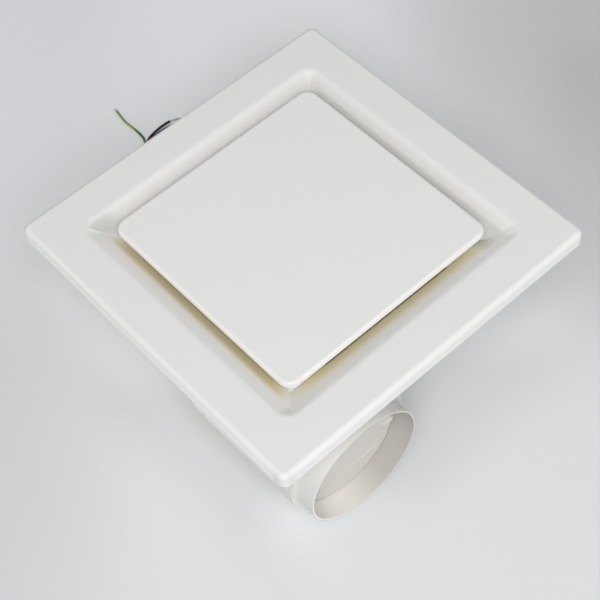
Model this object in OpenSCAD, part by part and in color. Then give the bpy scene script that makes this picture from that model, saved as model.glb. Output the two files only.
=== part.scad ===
// Ceiling duct exhaust fan: square fascia with a floating centre panel over a housing with a
// side-outlet scroll. It lies on its back with the fascia facing up and the duct towards +X.

/* [Fascia] */
// Side of the square fascia
face_size = 290; // [286:1:300]
// Depth of the fascia's side wall
face_depth = 13; // [12:0.5:16]
// Wall thickness of the fascia
face_wall = 2.5; // [2:0.1:3]
// Radius of the fascia's corners
face_corner_r = 6; // [5:0.5:10]
// Radius of the rolled front edge
face_edge_r = 4; // [3:0.5:4.5]
// Side of the recess at the front face
recess_size = 226; // [222:1:230]
// Corner radius of the recess at the front face
recess_corner_r = 10; // [6:1:14]
// Width of the recess slope, seen from the front
recess_slope_w = 20; // [17:0.5:22]
// Depth of the recess slope
recess_slope_h = 13; // [10:0.5:14]
// Radius where the recess rolls over into the front face
recess_roll_r = 8; // [4:0.5:12]
// Length of the straight lip round the air opening
opening_lip = 5; // [3:0.5:6]

/* [Centre panel] */
// Side of the square centre panel
panel_size = 194; // [190:1:198]
// Height of the panel's edge
panel_edge_h = 4; // [3.5:0.1:5]
// Wall thickness of the panel
panel_wall = 2.2; // [1.8:0.1:2.5]
// Radius of the panel's corners
panel_corner_r = 10; // [6:0.5:14]
// Radius of the panel's rolled front edge
panel_edge_r = 2.8; // [2:0.1:3.2]
// Height of the panel above the fascia's front face
panel_proud = 1.3; // [0:0.1:3]
// Distance of the panel's posts from the centre, along each side
post_offset = 78; // [76:1:80]
// Radius of the panel's snap posts
post_r = 3; // [2.5:0.1:3.5]

/* [Housing] */
// Wall thickness of the housing
shell_wall = 2.5; // [2:0.1:3]
// Side of the square tray that passes through the ceiling
tray_size = 226; // [225:0.5:228]
// Corner radius of the tray
tray_corner_r = 8; // [4:1:12]
// Inner depth of the tray, from its deck to the top of its flange
tray_depth = 25.5; // [25:0.5:28]
// Depth of the scroll, from its back plate to the deck
scroll_depth = 98; // [98:1:102]
// Depth of the motor cup behind the scroll's back plate
cup_depth = 16; // [15:0.5:20]
// Outer radius of the motor cup
cup_r = 50; // [49:0.5:51]
// Side of the square ceiling flange
flange_size = 256; // [250:1:262]
// Spacing of the ceiling screws, along each side
ceiling_screw_spacing = 236; // [232:1:240]
// Radius of the ceiling screw holes
ceiling_screw_hole_r = 2.75; // [2:0.25:3]

/* [Fan] */
// Position of the fan's axis along X
fan_x = -4; // [-6:0.5:-2]
// Position of the fan's axis along Y
fan_y = 7; // [6:0.5:8]
// Outer radius of the impeller
impeller_r = 68; // [66:0.5:69]
// Inner radius of the blade ring
blade_in_r = 55; // [54:0.5:57]
// Number of forward-curved blades
blade_count = 40; // [24:1:44]
// Thickness of a blade
blade_t = 1.2; // [1:0.1:1.6]
// Angle that a blade turns through, from its inner edge to its tip
blade_turn = 70; // [55:1:80]
// Gap between the impeller and the scroll where the scroll starts
scroll_gap = 8; // [7.5:0.5:10]
// Side of the small square whose corners carry the scroll's arcs
scroll_step = 13.6; // [12:0.1:14]
// Width of the scroll's outlet passage
outlet_w = 78.6; // [76:0.2:80]
// Radius of the nose of the scroll's tongue
tongue_r = 3; // [2:0.5:4]
// Radius of the round opening in the deck over the impeller
eye_r = 75.5; // [74:0.5:77]
// Outer radius of the inlet ring's plate
inlet_plate_r = 84; // [82:0.5:84]
// Radius of the inlet ring's throat
inlet_throat_r = 57.5; // [56:0.5:59]

/* [Duct] */
// Outer radius of the duct spigot
duct_r = 50; // [49:0.25:50.5]
// Wall thickness of the duct spigot
duct_wall = 1.5; // [1.2:0.1:2]
// Length of spigot that the duct slides over
duct_length = 17; // [15:1:25]
// Height of the outlet socket above the deck
duct_rise = 8; // [7:0.5:9]
// How far the outlet socket's end stays inside the tray's side
socket_inset = 1.5; // [0:0.5:3]
// Radial step from the spigot's tube to the outlet socket's bore
socket_step = 1.5; // [1.2:0.1:2]
// Height of the spigot's stop ring over its tube
ring_step = 4.5; // [4:0.1:6]
// Width of the spigot's stop ring
ring_w = 10; // [8:0.5:12]
// Gap between the stop ring and the socket
ring_gap = 2; // [1:0.5:3]
// Radial gap between the closed flap and the spigot's bore
flap_gap = 0.7; // [0.5:0.1:1.5]
// Thickness of the backdraft flap
flap_t = 1.4; // [1.2:0.1:2]
// Distance of the flap's hinge from the duct's axis
flap_offset = 12; // [9:0.5:14]
// Angle that the closed flap leans inwards
flap_lean = 4; // [2:0.5:6]
// Radius of the flap's hinge pins
flap_pin_r = 1.5; // [1.2:0.1:1.8]

/* [Motor] */
// Outer radius of the motor's end shields
motor_r = 41; // [40:0.5:42]
// Radius of the motor shaft
shaft_r = 4; // [3.5:0.25:5]
// Length of the stator core
stator_h = 20; // [16:1:22]
// Radius of the circle of mounting ears
ear_ring_r = 56; // [55:0.5:57]

/* [Fascia springs] */
// Radius of the spring wire
spring_wire_r = 0.9; // [0.7:0.1:1]
// Distance of the spring coils from the fascia's centre
spring_x = 101; // [100:0.5:102]
// Length of a spring leg
spring_leg = 42; // [38:1:42]
// Angle between a resting spring leg and the vertical
spring_rest_angle = 75; // [74:0.5:77]

/* [Supply cable] */
// Outer diameter of the supply cable
cable_d = 6.6; // [6:0.1:7]
// Outer diameter of an insulated core
core_d = 2.3; // [2:0.1:2.3]
// Diameter of a bare core tip
tip_d = 1.5; // [1.2:0.1:1.8]

/* [Fits] */
// Gap between pieces that move past each other
moving_gap = 0.3; // [0.3:0.05:0.4]
// Radial clearance of a running fit
running_fit = 0.05; // [0.03:0.01:0.08]
// Radial clearance of a seated fit
seat_fit = 0.15; // [0.1:0.05:0.2]

/* [Hidden] */
$fn = 96;
eps = 0.01;
beyond = 1;

// Heights, from the back of the motor cup up to the fascia
back_z = cup_depth;
floor_z = back_z + shell_wall;
deck_z = back_z + scroll_depth;
ceiling_z = deck_z + tray_depth - shell_wall;
flange_z = ceiling_z + shell_wall;
face_z = ceiling_z + face_depth;
face_under_z = face_z - face_wall;
panel_z = face_z + panel_proud;
panel_under_z = panel_z - panel_wall;

// Half sizes of the squares
face_half = face_size / 2;
panel_half = panel_size / 2;
tray_half = tray_size / 2;
tray_in_half = tray_half - shell_wall;
flange_half = flange_size / 2;
flange_corner_r = tray_corner_r + 4;

// Recess and air opening of the fascia
recess_half = recess_size / 2;
opening_half = recess_half - recess_slope_w;
recess_corner_at = recess_half - recess_corner_r;
slope_angle = atan(recess_slope_h / recess_slope_w);
opening_z = face_z - recess_slope_h;
lip_z = opening_z - opening_lip;
roll_run = recess_roll_r * tan(slope_angle / 2);
socket_drop = 2;
socket_z = lip_z - socket_drop;

// Scroll arcs: each quarter is centred on a corner of the small square and is one step larger
scroll_r1 = impeller_r + scroll_gap + scroll_step / 2;
scroll_r2 = scroll_r1 + scroll_step;
scroll_r3 = scroll_r2 + scroll_step;
arc1 = [fan_x - scroll_step / 2, fan_y + scroll_step / 2];
arc2 = [fan_x - scroll_step / 2, fan_y - scroll_step / 2];
arc3 = [fan_x + scroll_step / 2, fan_y - scroll_step / 2];
scroll_low_y = arc3[1] - scroll_r3;
cutoff_y = scroll_low_y + outlet_w;
socket_x = tray_half - socket_inset;
socket_depth = 27.5;
outlet_end_x = socket_x - socket_depth;
scroll_chamfer = 3;
scroll_top_z = deck_z - shell_wall;

// Duct
duct_y = scroll_low_y + outlet_w / 2;
duct_in_r = duct_r - duct_wall;
socket_r = duct_r + socket_step;
ring_r = duct_r + ring_step;
socket_wrap = 12;
collar_r = socket_r + shell_wall;
duct_z = deck_z + duct_rise - collar_r;
bore_x = outlet_end_x - socket_wrap;
ring_x = socket_x + ring_gap;
tube_x = ring_x + ring_w;
mouth_x = tube_x + duct_length;
plug_gap = 4;
plug_x = outlet_end_x + plug_gap;
plug_r = socket_r - seat_fit;
seal_at = 7;
seal_x = plug_x + seal_at;
seal_w = 3;
seal_depth = 1.2;
flap_inset = 4;
flap_x = tube_x - flap_inset;
flap_z = duct_z - flap_offset;
flap_r = duct_in_r - flap_gap;
flap_flat_gap = 3.1;
flap_flat = duct_in_r - flap_flat_gap;
flap_hub_r = 2.6;
flap_hub_w = 9;
flap_rib_at = [-18, 10, 38];
flap_rib_length = 60;
flap_rib_t = 1.6;
flap_rib_h = 1.2;
pin_cover = 3;
pin_reach = ring_r - pin_cover;
ledge_w = 4.5;
ledge_in_r = duct_in_r - ledge_w;
ledge_t = 1.6;
ledge_low = 6;
spigot_screw_inset = 6;
spigot_screw_x = socket_x - spigot_screw_inset;
spigot_screw_angles = [-40, 40];
spigot_screw_bite = 1;
spigot_screw_length = collar_r - duct_r + spigot_screw_bite;

// Motor, stacked from the cup's floor upwards
cup_gap = 2.5;
shield_z = shell_wall + cup_gap;
shield_wall = 2;
ear_lift = 3.7;
ear_z = floor_z + ear_lift;
ear_t = 1.5;
ear_end_r = 8;
ear_root = 4;
stator_z = ear_z + ear_t;
stator_top_z = stator_z + stator_h;
upper_shield_h = 12.3;
shield_top_z = stator_top_z + upper_shield_h;
stator_step = 1;
stator_r = motor_r - stator_step;
rotor_r = 22;
air_gap = 0.6;
end_ring_h = 3;
end_ring_out = 2;
end_ring_in = 9;
bearing_r = 8;
bearing_h = 7;
bearing_cover = 1;
bearing_boss_wall = 3;
bearing_boss_r = bearing_r + bearing_boss_wall;
bearing_lift = 0.5;
lower_bearing_z = shield_z + shield_wall + bearing_lift;
boss_h = 3.5;
boss_top_z = shield_top_z + boss_h;
upper_bearing_z = boss_top_z - bearing_cover - bearing_h;
slot_count = 12;
slot_ring_r = 29;
slot_r = 3.5;
winding_gap = 0.3;
end_turn_h = 6.5;
end_turn_out = 5.2;
end_turn_in = 4.6;
through_inset = 3.5;
through_ring_r = motor_r - through_inset;
through_r = 1.5;
through_boss_r = 3;
through_head_r = 2.8;
through_head_h = 1.8;
through_reach = 10;
through_hole_gap = 0.1;
grommet_r = 6;
grommet_h = 5.5;
grommet_neck_r = 4;
grommet_fit = 0.05;
mount_screw_r = 2;
mount_head_r = 3.8;
mount_head_h = 1.6;
mount_washer_r = 5;
mount_washer_t = 0.8;
motor_boss_r = 5;
motor_boss_h = 2;
mount_bite = 2;
ear_angles = [30, 150, 270];
through_angles = [0, 90, 180, 270];

// Impeller, stacked above the motor's ears
back_ring_lift = 8.8;
back_ring_z = ear_z + back_ring_lift;
ring_t = 2.5;
hat_gap = 4.5;
hat_wall = 2;
hat_r = motor_r + hat_gap + hat_wall;
hat_round = 10;
hat_lift = 2.4;
hat_top_z = boss_top_z + hat_lift + hat_wall;
hub_r = 9;
hub_bore_r = shaft_r + running_fit;
hub_h = 13;
hub_top_z = hat_top_z + hub_h;
hub_skirt = 1;
eye_gap = 0.5;
bell_r = eye_r - eye_gap - inlet_throat_r;
bell_wall = 2;
bell_centre_r = inlet_throat_r + bell_r;
inlet_plate_t = 2;
inlet_top_z = deck_z + inlet_plate_t;
throat_z = inlet_top_z - bell_r;
shroud_gap = 2.5;
shroud_top_z = throat_z - shroud_gap;
shroud_t = 2.5;
shroud_step = 1.5;
shroud_inset = 5;
blade_tip_r = impeller_r - blade_t / 2;
blade_lift = 1 - cos(blade_turn);
blade_side = blade_in_r * sin(blade_turn);
blade_span = pow(blade_tip_r, 2) - pow(blade_in_r, 2);
blade_root = sqrt(pow(blade_side, 2) + 2 * blade_lift * blade_span);
blade_bow_r = (blade_root - blade_side) / (2 * blade_lift);
blade_root_sink = 0.5;
web_count = 6;
web_length = 22;
web_h = 9;
web_t = 1.8;
web_sink = 1;
washer_t = 1.5;
washer_inset = 1;
washer_gap = 0.1;
nut_t = 5.5;
nut_r = 7.5;
shaft_end = 2;
shaft_point = 1;
shaft_low_z = lower_bearing_z + moving_gap;
shaft_top_z = hub_top_z + washer_t + nut_t + shaft_end;

// Inlet ring screws
inlet_screw_inset = 4.5;
inlet_screw_ring_r = inlet_plate_r - inlet_screw_inset;
inlet_screw_length = 8;
inlet_screw_angles = [45, 135, 225, 315];
screw_r = 1.5;
screw_hole_gap = 0.2;
screw_fit = 0.02;
screw_head_r = 3;
screw_head_h = 2;
inlet_boss_h = 8;
inlet_boss_r = 3.3;

// Wiring compartment in the tray's corner at -X and +Y
bay_wall = 2;
cover_t = 2;
cover_gap = 1.5;
bay_top_z = socket_z - cover_gap - cover_t;
bay_h = bay_top_z - deck_z;
bay_size = 50.5;
bay_corner = 22;
bay_near = tray_in_half - bay_size;
bay_cut = bay_near + bay_corner;
bay_post_r = 3.5;
bay_post_near = bay_near + 4.5;
bay_post_far = tray_in_half - 7.5;
bay_screws = [[-bay_post_far, bay_post_near], [-bay_post_near, bay_post_far]];
cover_screw_length = 8;
cover_head_r = 2.8;
cover_head_h = 1.6;
block_size = [20, 13, bay_h - 2];
block_at = [20.5 - tray_in_half, tray_in_half - 17];
pole_pitch = 6.3;
pole_w = 5.4;
pole_depth = 4;
capacitor_size = [18, 22.5, bay_h - 1.5];
capacitor_at = [6 - tray_in_half, bay_near + 9.8];
supply_y = tray_in_half - 10.5;
supply_z = deck_z + 6.5;
relief_r = 7;
relief_flange_t = 3;
relief_nose = 18;
relief_neck_r = 5.2;
relief_tip_r = 4.2;
relief_inside = 4;
relief_end_x = -tray_half - relief_flange_t - relief_nose;

// Motor lead, drawn along a line through the fan's axis towards the wiring compartment
lead_d = 5;
lead_bend_r = 10;
lead_angle = 135;
grommet_wall = 1.5;
lead_z = back_z - lead_d / 2 - grommet_wall - moving_gap;
lead_out_s = 105;
lead_top_z = deck_z + 7;
lead_top_bend_r = 5.5;
function lead_at(s, z) = [fan_x + s * cos(lead_angle), fan_y + s * sin(lead_angle), z];
lead_up = lead_at(lead_out_s, lead_top_z);
lead_foot_s = lead_out_s - lead_bend_r;
lead_turn_z = lead_top_z - lead_top_bend_r;
lead_route = concat(
  [lead_at(motor_r + 0.2, lead_z)],
  [for (a = [0:15:90]) lead_at(lead_foot_s + lead_bend_r * sin(a), lead_z + lead_bend_r * (1 - cos(a)))],
  [
    for (a = [0:15:90])
      [lead_up[0], lead_up[1] + lead_top_bend_r * (1 - cos(a)), lead_turn_z + lead_top_bend_r * sin(a)]
  ],
  [[lead_up[0], block_at[1] - 0.2, lead_top_z]]
);

// Fascia springs
coil_r = 4;
coil_z = lip_z - 1;
coil_turns = 3;
coil_pitch = 1.6;
ring_spacing = (coil_turns - 1) * coil_pitch / 2 + 2 * spring_wire_r + 0.2;
arbor_r = coil_r - spring_wire_r - 0.1;
ear_in = ring_spacing + spring_wire_r + 0.3;
spring_ear_t = 1.8;
spring_ear_w = 12;
ear_low_z = coil_z - 3.5;
shelf_z = coil_z - 6;
shelf_t = 1.5;
shelf_y = 31;
shelf_x = spring_x - 8;
slot_start_y = 2;
slot_end_y = 27.5;
slot_w = 3;

// Posts and sockets of the centre panel
socket_out_r = 6.5;
socket_h = 10;
post_shoulder_r = 5;
post_tip = 1;
panel_rib_at = 45;
panel_rib_t = 1.6;
panel_rib_h = 2;
gusset_leg = 36;
gusset_t = 2.5;

// Locating ribs under the fascia
rib_t = 1.8;
rib_in = 119;
rib_at = 50;

// Route of the supply cable, from the strain relief down to the floor and along it
cable_route = [
  [relief_end_x, supply_y, supply_z], [-140, 100, 120.5], [-149.6, 99.6, 118.8], [-158, 99, 113.9],
  [-164, 98, 106.5], [-167.3, 96.5, 97.5], [-169.2, 94.4, 86.5], [-170.5, 91.5, 75],
  [-171.6, 88, 63.5], [-173, 83.8, 52], [-175.2, 79, 41], [-178.8, 73, 30.5],
  [-184.2, 66, 20.8], [-191, 58, 13], [-199, 49.5, 7.2], [-208, 41.5, 4.2],
  [-217.5, 35, 3.5], [-226.8, 31.4, 3.5], [-235.6, 30.6, 3.5], [-244, 32, 3.5]
];
// Routes of the three cores, from the end of the cable's sheath
live_route = [
  [-243.9, 33.3, 2.7], [-249, 34.9, 2.2], [-254.5, 37.2, 1.5], [-258.6, 40.6, 1.3], [-260.6, 46, 1.3],
  [-261.8, 52, 1.3], [-262.4, 58.5, 1.3], [-262.3, 64, 1.3], [-262, 68, 1.3]
];
neutral_route = [
  [-244.2, 32.05, 4.9], [-249, 34.3, 5], [-253, 37.3, 4.4], [-255.8, 41.2, 3], [-257.4, 46, 1.8],
  [-258.4, 51, 1.3], [-258.4, 57, 1.3], [-257.8, 62.5, 1.3], [-257, 67, 1.3]
];
earth_route = [
  [-244.5, 30.8, 2.7], [-249.5, 32.4, 2.3], [-254, 34.2, 1.8], [-259, 36.9, 1.4], [-265, 38.9, 1.3],
  [-273, 39.3, 1.3], [-281, 38.9, 1.3], [-289, 38.6, 1.3], [-297, 39.5, 1.3], [-305.5, 41, 1.3]
];
live_tip = [-258, 77.3, 1.3];
neutral_tip = [-255, 76, 1.3];
earth_tip = [-309.5, 41.8, 1.3];

// Colours
white_plastic = [0.9, 0.9, 0.87];
cream_plastic = [0.86, 0.85, 0.8];
steel = [0.7, 0.71, 0.73];
dark_steel = [0.4, 0.42, 0.45];
bronze = [0.72, 0.52, 0.3];
copper = [0.76, 0.42, 0.24];
rubber = [0.12, 0.12, 0.13];
black_plastic = [0.16, 0.16, 0.17];

// General shapes

// Square with rounded corners, as a flat shape
module rounded_square(half, corner_r) {
  square([2 * half, 2 * (half - corner_r)], center = true);
  square([2 * (half - corner_r), 2 * half], center = true);
  for (x = [-1, 1], y = [-1, 1])
    translate([x * (half - corner_r), y * (half - corner_r)]) circle(corner_r);
}

// Draws an edge profile along the four sides of a square and revolves it round the corners
module around_square(reach) {
  for (turn = [0:90:270])
    rotate(turn) {
      translate([reach, reach]) rotate_extrude(angle = 90) children();
      translate([reach, reach]) rotate([90, 0, 0]) linear_extrude(2 * reach) children();
    }
}

// Edge profile of a slab with a rolled upper edge, measured out from the corner's centre
module rolled_edge(corner_r, height, edge_r) {
  intersection() {
    square([corner_r, height]);
    union() {
      square([corner_r, height - edge_r]);
      square([max(corner_r - edge_r, 0), height]);
      translate([corner_r - edge_r, height - edge_r]) circle(edge_r);
    }
  }
}

// Edge profile of a shell with a rolled upper edge, open below
module shell_edge(corner_r, height, edge_r, wall) {
  difference() {
    rolled_edge(corner_r, height, edge_r);
    translate([-beyond, -beyond]) square([corner_r - wall + beyond, height - wall + beyond]);
  }
}

// Profile drawn both ways along Y, mirrored about the middle
module drawn_both_ways(length) {
  rotate([90, 0, 0])
    linear_extrude(2 * length, center = true) {
      children();
      mirror([1, 0]) children();
    }
}

// Four-sided funnel with mitred corners whose outermost part is rounded
module square_funnel(reach) {
  corner = recess_corner_at;
  intersection() {
    drawn_both_ways(reach) children();
    rotate(90) drawn_both_ways(reach) children();
    union() {
      translate([-corner, -reach, 0]) cube([2 * corner, 2 * reach, face_z + beyond]);
      translate([-reach, -corner, 0]) cube([2 * reach, 2 * corner, face_z + beyond]);
    }
  }
  for (turn = [0:90:270])
    rotate(turn)
      translate([corner, corner])
        rotate_extrude(angle = 90)
          intersection() {
            translate([-corner, 0]) children();
            square([reach, face_z + beyond]);
          }
}

// Disc or ring of one height
module ring(outer_r, inner_r, height) {
  difference() {
    cylinder(r = outer_r, h = height);
    translate([0, 0, -beyond]) cylinder(r = inner_r, h = height + 2 * beyond);
  }
}

// Pan-head screw standing on its shank, the head's underside at height 0
module pan_screw(shank_r, shank_length, head_r, head_h) {
  translate([0, 0, -shank_length]) cylinder(r = shank_r, h = shank_length + eps);
  difference() {
    rotate_extrude()
      intersection() {
        square([head_r, head_h]);
        translate([0, head_h - head_r * 1.6]) circle(head_r * 1.6);
      }
    for (turn = [0, 90])
      rotate(turn)
        translate([-head_r * 0.6, -head_r * 0.11, head_h * 0.45]) cube([head_r * 1.2, head_r * 0.22, head_h]);
  }
}

// Moves onto the fan's axis
module at_fan() {
  translate([fan_x, fan_y, 0]) children();
}

// Copies round the fan's axis
module round_fan(radius, angles) {
  at_fan()
    for (angle = angles)
      rotate(angle) translate([radius, 0, 0]) children();
}

// Moves onto the duct's axis, with the new Z along +X and the new X along -Z
module at_duct(x) {
  translate([x, duct_y, duct_z]) rotate([0, 90, 0]) children();
}

// Scroll

// One quarter of the scroll: a quarter disc with a chamfered lower edge
module scroll_quarter(centre, radius, toward, chamfer, low_z, high_z) {
  intersection() {
    translate([centre[0], centre[1], low_z]) {
      cylinder(r1 = radius - chamfer, r2 = radius, h = chamfer + eps);
      translate([0, 0, chamfer]) cylinder(r = radius, h = high_z - low_z - chamfer);
    }
    translate([centre[0] + (toward[0] < 0 ? -radius : 0), centre[1] + (toward[1] < 0 ? -radius : 0), low_z])
      cube([radius, radius, high_z - low_z]);
  }
}

// Straight outlet passage with chamfered lower edges
module scroll_outlet(grow, chamfer, low_z, high_z) {
  low_y = scroll_low_y - grow;
  high_y = cutoff_y + grow;
  end_x = outlet_end_x + grow;
  translate([arc3[0], 0, 0])
    rotate([90, 0, 90])
      linear_extrude(end_x - arc3[0])
        polygon([
          [low_y + chamfer, low_z], [high_y, low_z], [high_y, high_z], [low_y, high_z],
          [low_y, low_z + chamfer]
        ]);
}

// Scroll form: four arcs and the outlet, grown outwards by the wall or not at all
module scroll_form(grow, chamfer, low_z, high_z) {
  scroll_quarter(arc2, scroll_r2 + grow, [-1, 1], chamfer, low_z, high_z);
  scroll_quarter(arc3, scroll_r3 + grow, [-1, -1], chamfer, low_z, high_z);
  intersection() {
    translate([arc1[0], arc1[1], low_z]) {
      cylinder(r1 = scroll_r1 + grow - chamfer, r2 = scroll_r1 + grow, h = chamfer + eps);
      translate([0, 0, chamfer]) cylinder(r = scroll_r1 + grow, h = high_z - low_z - chamfer);
    }
    translate([arc1[0], cutoff_y, low_z]) cube([2 * scroll_r1, 2 * scroll_r1, high_z - low_z]);
  }
  scroll_outlet(grow, chamfer, low_z, high_z);
}

// Clears the sharp tip of the tongue back to its round nose
module tongue_relief() {
  tip_x = arc1[0] + sqrt(pow(scroll_r1, 2) - pow(cutoff_y - arc1[1], 2));
  nose_y = cutoff_y + tongue_r;
  nose_x = arc1[0] + sqrt(pow(scroll_r1 + tongue_r, 2) - pow(nose_y - arc1[1], 2));
  reach = scroll_r1 / (scroll_r1 + tongue_r);
  touch = [arc1[0] + (nose_x - arc1[0]) * reach, arc1[1] + (nose_y - arc1[1]) * reach];
  translate([0, 0, floor_z])
    linear_extrude(scroll_top_z - floor_z)
      difference() {
        polygon([
          [tip_x - 2, cutoff_y - 1], [nose_x, cutoff_y - 1], [nose_x, nose_y], touch,
          [tip_x - 2, cutoff_y + 1]
        ]);
        translate([nose_x, nose_y]) circle(tongue_r);
      }
}

// Housing

// Outline of the wiring compartment
module bay_outline(grow) {
  edge = tray_in_half + 1;
  polygon([
    [-edge, bay_near - grow], [-bay_cut + 0.42 * grow, bay_near - grow],
    [-bay_near + grow, bay_cut - 0.42 * grow], [-bay_near + grow, edge], [-edge, edge]
  ]);
}

// Shelf whose two slots hold the legs of one fascia spring
module spring_shelf(side) {
  mirror([side < 0 ? 1 : 0, 0, 0])
    difference() {
      translate([shelf_x, -shelf_y, shelf_z - shelf_t / 2])
        cube([tray_half - beyond - shelf_x, 2 * shelf_y, shelf_t]);
      for (way = [-1, 1])
        translate([spring_x + way * side * ring_spacing - slot_w / 2, 0, shelf_z - beyond])
          translate([0, way > 0 ? -slot_start_y : -slot_end_y, 0])
            cube([slot_w, slot_end_y + slot_start_y, 2 * beyond]);
    }
}

module housing_shell() {
  color(white_plastic)
    difference() {
      union() {
        scroll_form(shell_wall, scroll_chamfer, back_z, deck_z);
        at_fan() cylinder(r = cup_r, h = floor_z);
        at_duct(bore_x) cylinder(r = collar_r, h = socket_x - bore_x);
        translate([0, 0, scroll_top_z])
          linear_extrude(flange_z - scroll_top_z)
            difference() {
              rounded_square(tray_half, tray_corner_r);
              rounded_square(tray_in_half, tray_corner_r - shell_wall);
            }
        translate([0, 0, scroll_top_z])
          linear_extrude(shell_wall) rounded_square(tray_half - beyond, tray_corner_r);
        translate([0, 0, ceiling_z])
          linear_extrude(shell_wall)
            difference() {
              rounded_square(flange_half, flange_corner_r);
              rounded_square(tray_in_half, tray_corner_r - shell_wall);
            }
        translate([0, 0, deck_z - eps])
          linear_extrude(bay_h + eps)
            intersection() {
              difference() {
                bay_outline(bay_wall);
                bay_outline(0);
              }
              rounded_square(tray_in_half + eps, tray_corner_r - shell_wall);
            }
        for (at = bay_screws)
          translate([at[0], at[1], deck_z - eps]) cylinder(r = bay_post_r, h = bay_h + eps);
        for (side = [-1, 1]) spring_shelf(side);
      }
      scroll_cavity();
      at_duct(bore_x + beyond) cylinder(r = socket_r, h = tray_half - bore_x);
      at_fan() translate([0, 0, scroll_top_z - beyond]) cylinder(r = eye_r, h = shell_wall + 2 * beyond);
      at_fan() translate([0, 0, shell_wall]) cylinder(r = cup_r - shell_wall, h = floor_z);
      for (x = [-1, 1], y = [-1, 1])
        translate([x * ceiling_screw_spacing / 2, y * ceiling_screw_spacing / 2, ceiling_z - beyond])
          cylinder(r = ceiling_screw_hole_r, h = shell_wall + 2 * beyond);
      round_fan(inlet_screw_ring_r, inlet_screw_angles)
        translate([0, 0, scroll_top_z - inlet_boss_h])
          cylinder(r = screw_r, h = inlet_boss_h + 2 * shell_wall);
      round_fan(ear_ring_r, ear_angles)
        translate([0, 0, back_z + 1]) cylinder(r = mount_screw_r, h = shell_wall + motor_boss_h);
      for (at = bay_screws) translate([at[0], at[1], deck_z + 2]) cylinder(r = screw_r, h = bay_h);
      at_fan()
        rotate(lead_angle)
          translate([cup_r - shell_wall - beyond, 0, lead_z])
            rotate([0, 90, 0]) cylinder(r = lead_d / 2 + grommet_wall, h = shell_wall + 2 * beyond);
      translate([lead_up[0], lead_up[1], scroll_top_z - beyond])
        cylinder(r = lead_d / 2 + grommet_wall, h = shell_wall + 2 * beyond);
      translate([-tray_half - beyond, supply_y, supply_z])
        rotate([0, 90, 0]) cylinder(r = relief_neck_r + seat_fit, h = shell_wall + 2 * beyond);
      for (angle = spigot_screw_angles)
        at_duct(spigot_screw_x)
          rotate(angle) rotate([0, 90, 0]) translate([0, 0, duct_r]) cylinder(r = screw_r, h = 6);
    }
}

// Inside of the scroll, less the screw bosses that stand in it
module scroll_cavity() {
  difference() {
    union() {
      scroll_form(0, 0, floor_z, scroll_top_z);
      tongue_relief();
    }
    round_fan(ear_ring_r, ear_angles)
      translate([0, 0, back_z]) cylinder(r = motor_boss_r, h = shell_wall + motor_boss_h);
    round_fan(inlet_screw_ring_r, inlet_screw_angles)
      translate([0, 0, scroll_top_z - inlet_boss_h]) cylinder(r = inlet_boss_r, h = inlet_boss_h + 1);
  }
}

module inlet_ring() {
  color(white_plastic)
    at_fan()
      difference() {
        rotate_extrude() {
          translate([bell_centre_r, deck_z]) square([inlet_plate_r - bell_centre_r, inlet_plate_t]);
          intersection() {
            translate([bell_centre_r, throat_z])
              difference() {
                circle(bell_r);
                circle(bell_r - bell_wall);
              }
            translate([0, throat_z]) square([bell_centre_r, bell_r + beyond]);
          }
        }
        for (angle = inlet_screw_angles)
          rotate(angle)
            translate([inlet_screw_ring_r, 0, deck_z - beyond])
              cylinder(r = screw_r + screw_hole_gap, h = inlet_plate_t + 2 * beyond);
      }
}

module inlet_ring_screws() {
  color(steel)
    round_fan(inlet_screw_ring_r, inlet_screw_angles)
      translate([0, 0, inlet_top_z])
        pan_screw(screw_r - screw_fit, inlet_screw_length, screw_head_r, screw_head_h);
}

// Duct spigot

module duct_spigot() {
  color(white_plastic)
    difference() {
      union() {
        at_duct(plug_x) cylinder(r = plug_r, h = ring_x - plug_x + eps);
        at_duct(ring_x) cylinder(r = ring_r, h = ring_w);
        at_duct(tube_x - eps) cylinder(r = duct_r, h = duct_length + eps);
      }
      difference() {
        at_duct(plug_x - beyond) cylinder(r = duct_in_r, h = mouth_x - plug_x + 2 * beyond);
        flap_ledge();
      }
      at_duct(seal_x)
        difference() {
          cylinder(r = plug_r + beyond, h = seal_w);
          translate([0, 0, -beyond]) cylinder(r = plug_r - seal_depth, h = seal_w + 2 * beyond);
        }
      translate([flap_x, duct_y, flap_z])
        rotate([90, 0, 0])
          cylinder(r = flap_pin_r + running_fit, h = 2 * (pin_reach + moving_gap), center = true);
      for (angle = spigot_screw_angles)
        at_duct(spigot_screw_x)
          rotate(angle) rotate([0, 90, 0]) translate([0, 0, duct_in_r - beyond]) cylinder(r = screw_r, h = 6);
    }
}

// Moves into the closed flap's own directions: X through its thickness, Z up from its hinge
module at_flap() {
  translate([flap_x, duct_y, flap_z]) rotate([0, -flap_lean, 0]) children();
}

// Half ledge behind the flap's long side, where the closed flap stops
module flap_ledge() {
  gap = flap_t / 2 + moving_gap;
  at_flap()
    intersection() {
      translate([-gap - ledge_t, 0, flap_offset])
        rotate([0, 90, 0])
          difference() {
            cylinder(r = duct_r + 2, h = ledge_t);
            translate([0, 0, -beyond]) cylinder(r = ledge_in_r, h = ledge_t + 2 * beyond);
          }
      translate([-ring_w, -duct_r, ledge_low]) cube([2 * ring_w, 2 * duct_r, 2 * duct_r]);
    }
}

module spigot_seal() {
  color(rubber)
    at_duct(seal_x + 0.1) ring(socket_r, plug_r - seal_depth, seal_w - 0.2);
}

module spigot_screws() {
  color(steel)
    for (angle = spigot_screw_angles)
      at_duct(spigot_screw_x)
        rotate(angle)
          rotate([0, 90, 0])
            translate([0, 0, collar_r])
              pan_screw(screw_r - screw_fit, spigot_screw_length, screw_head_r, screw_head_h);
}

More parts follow.
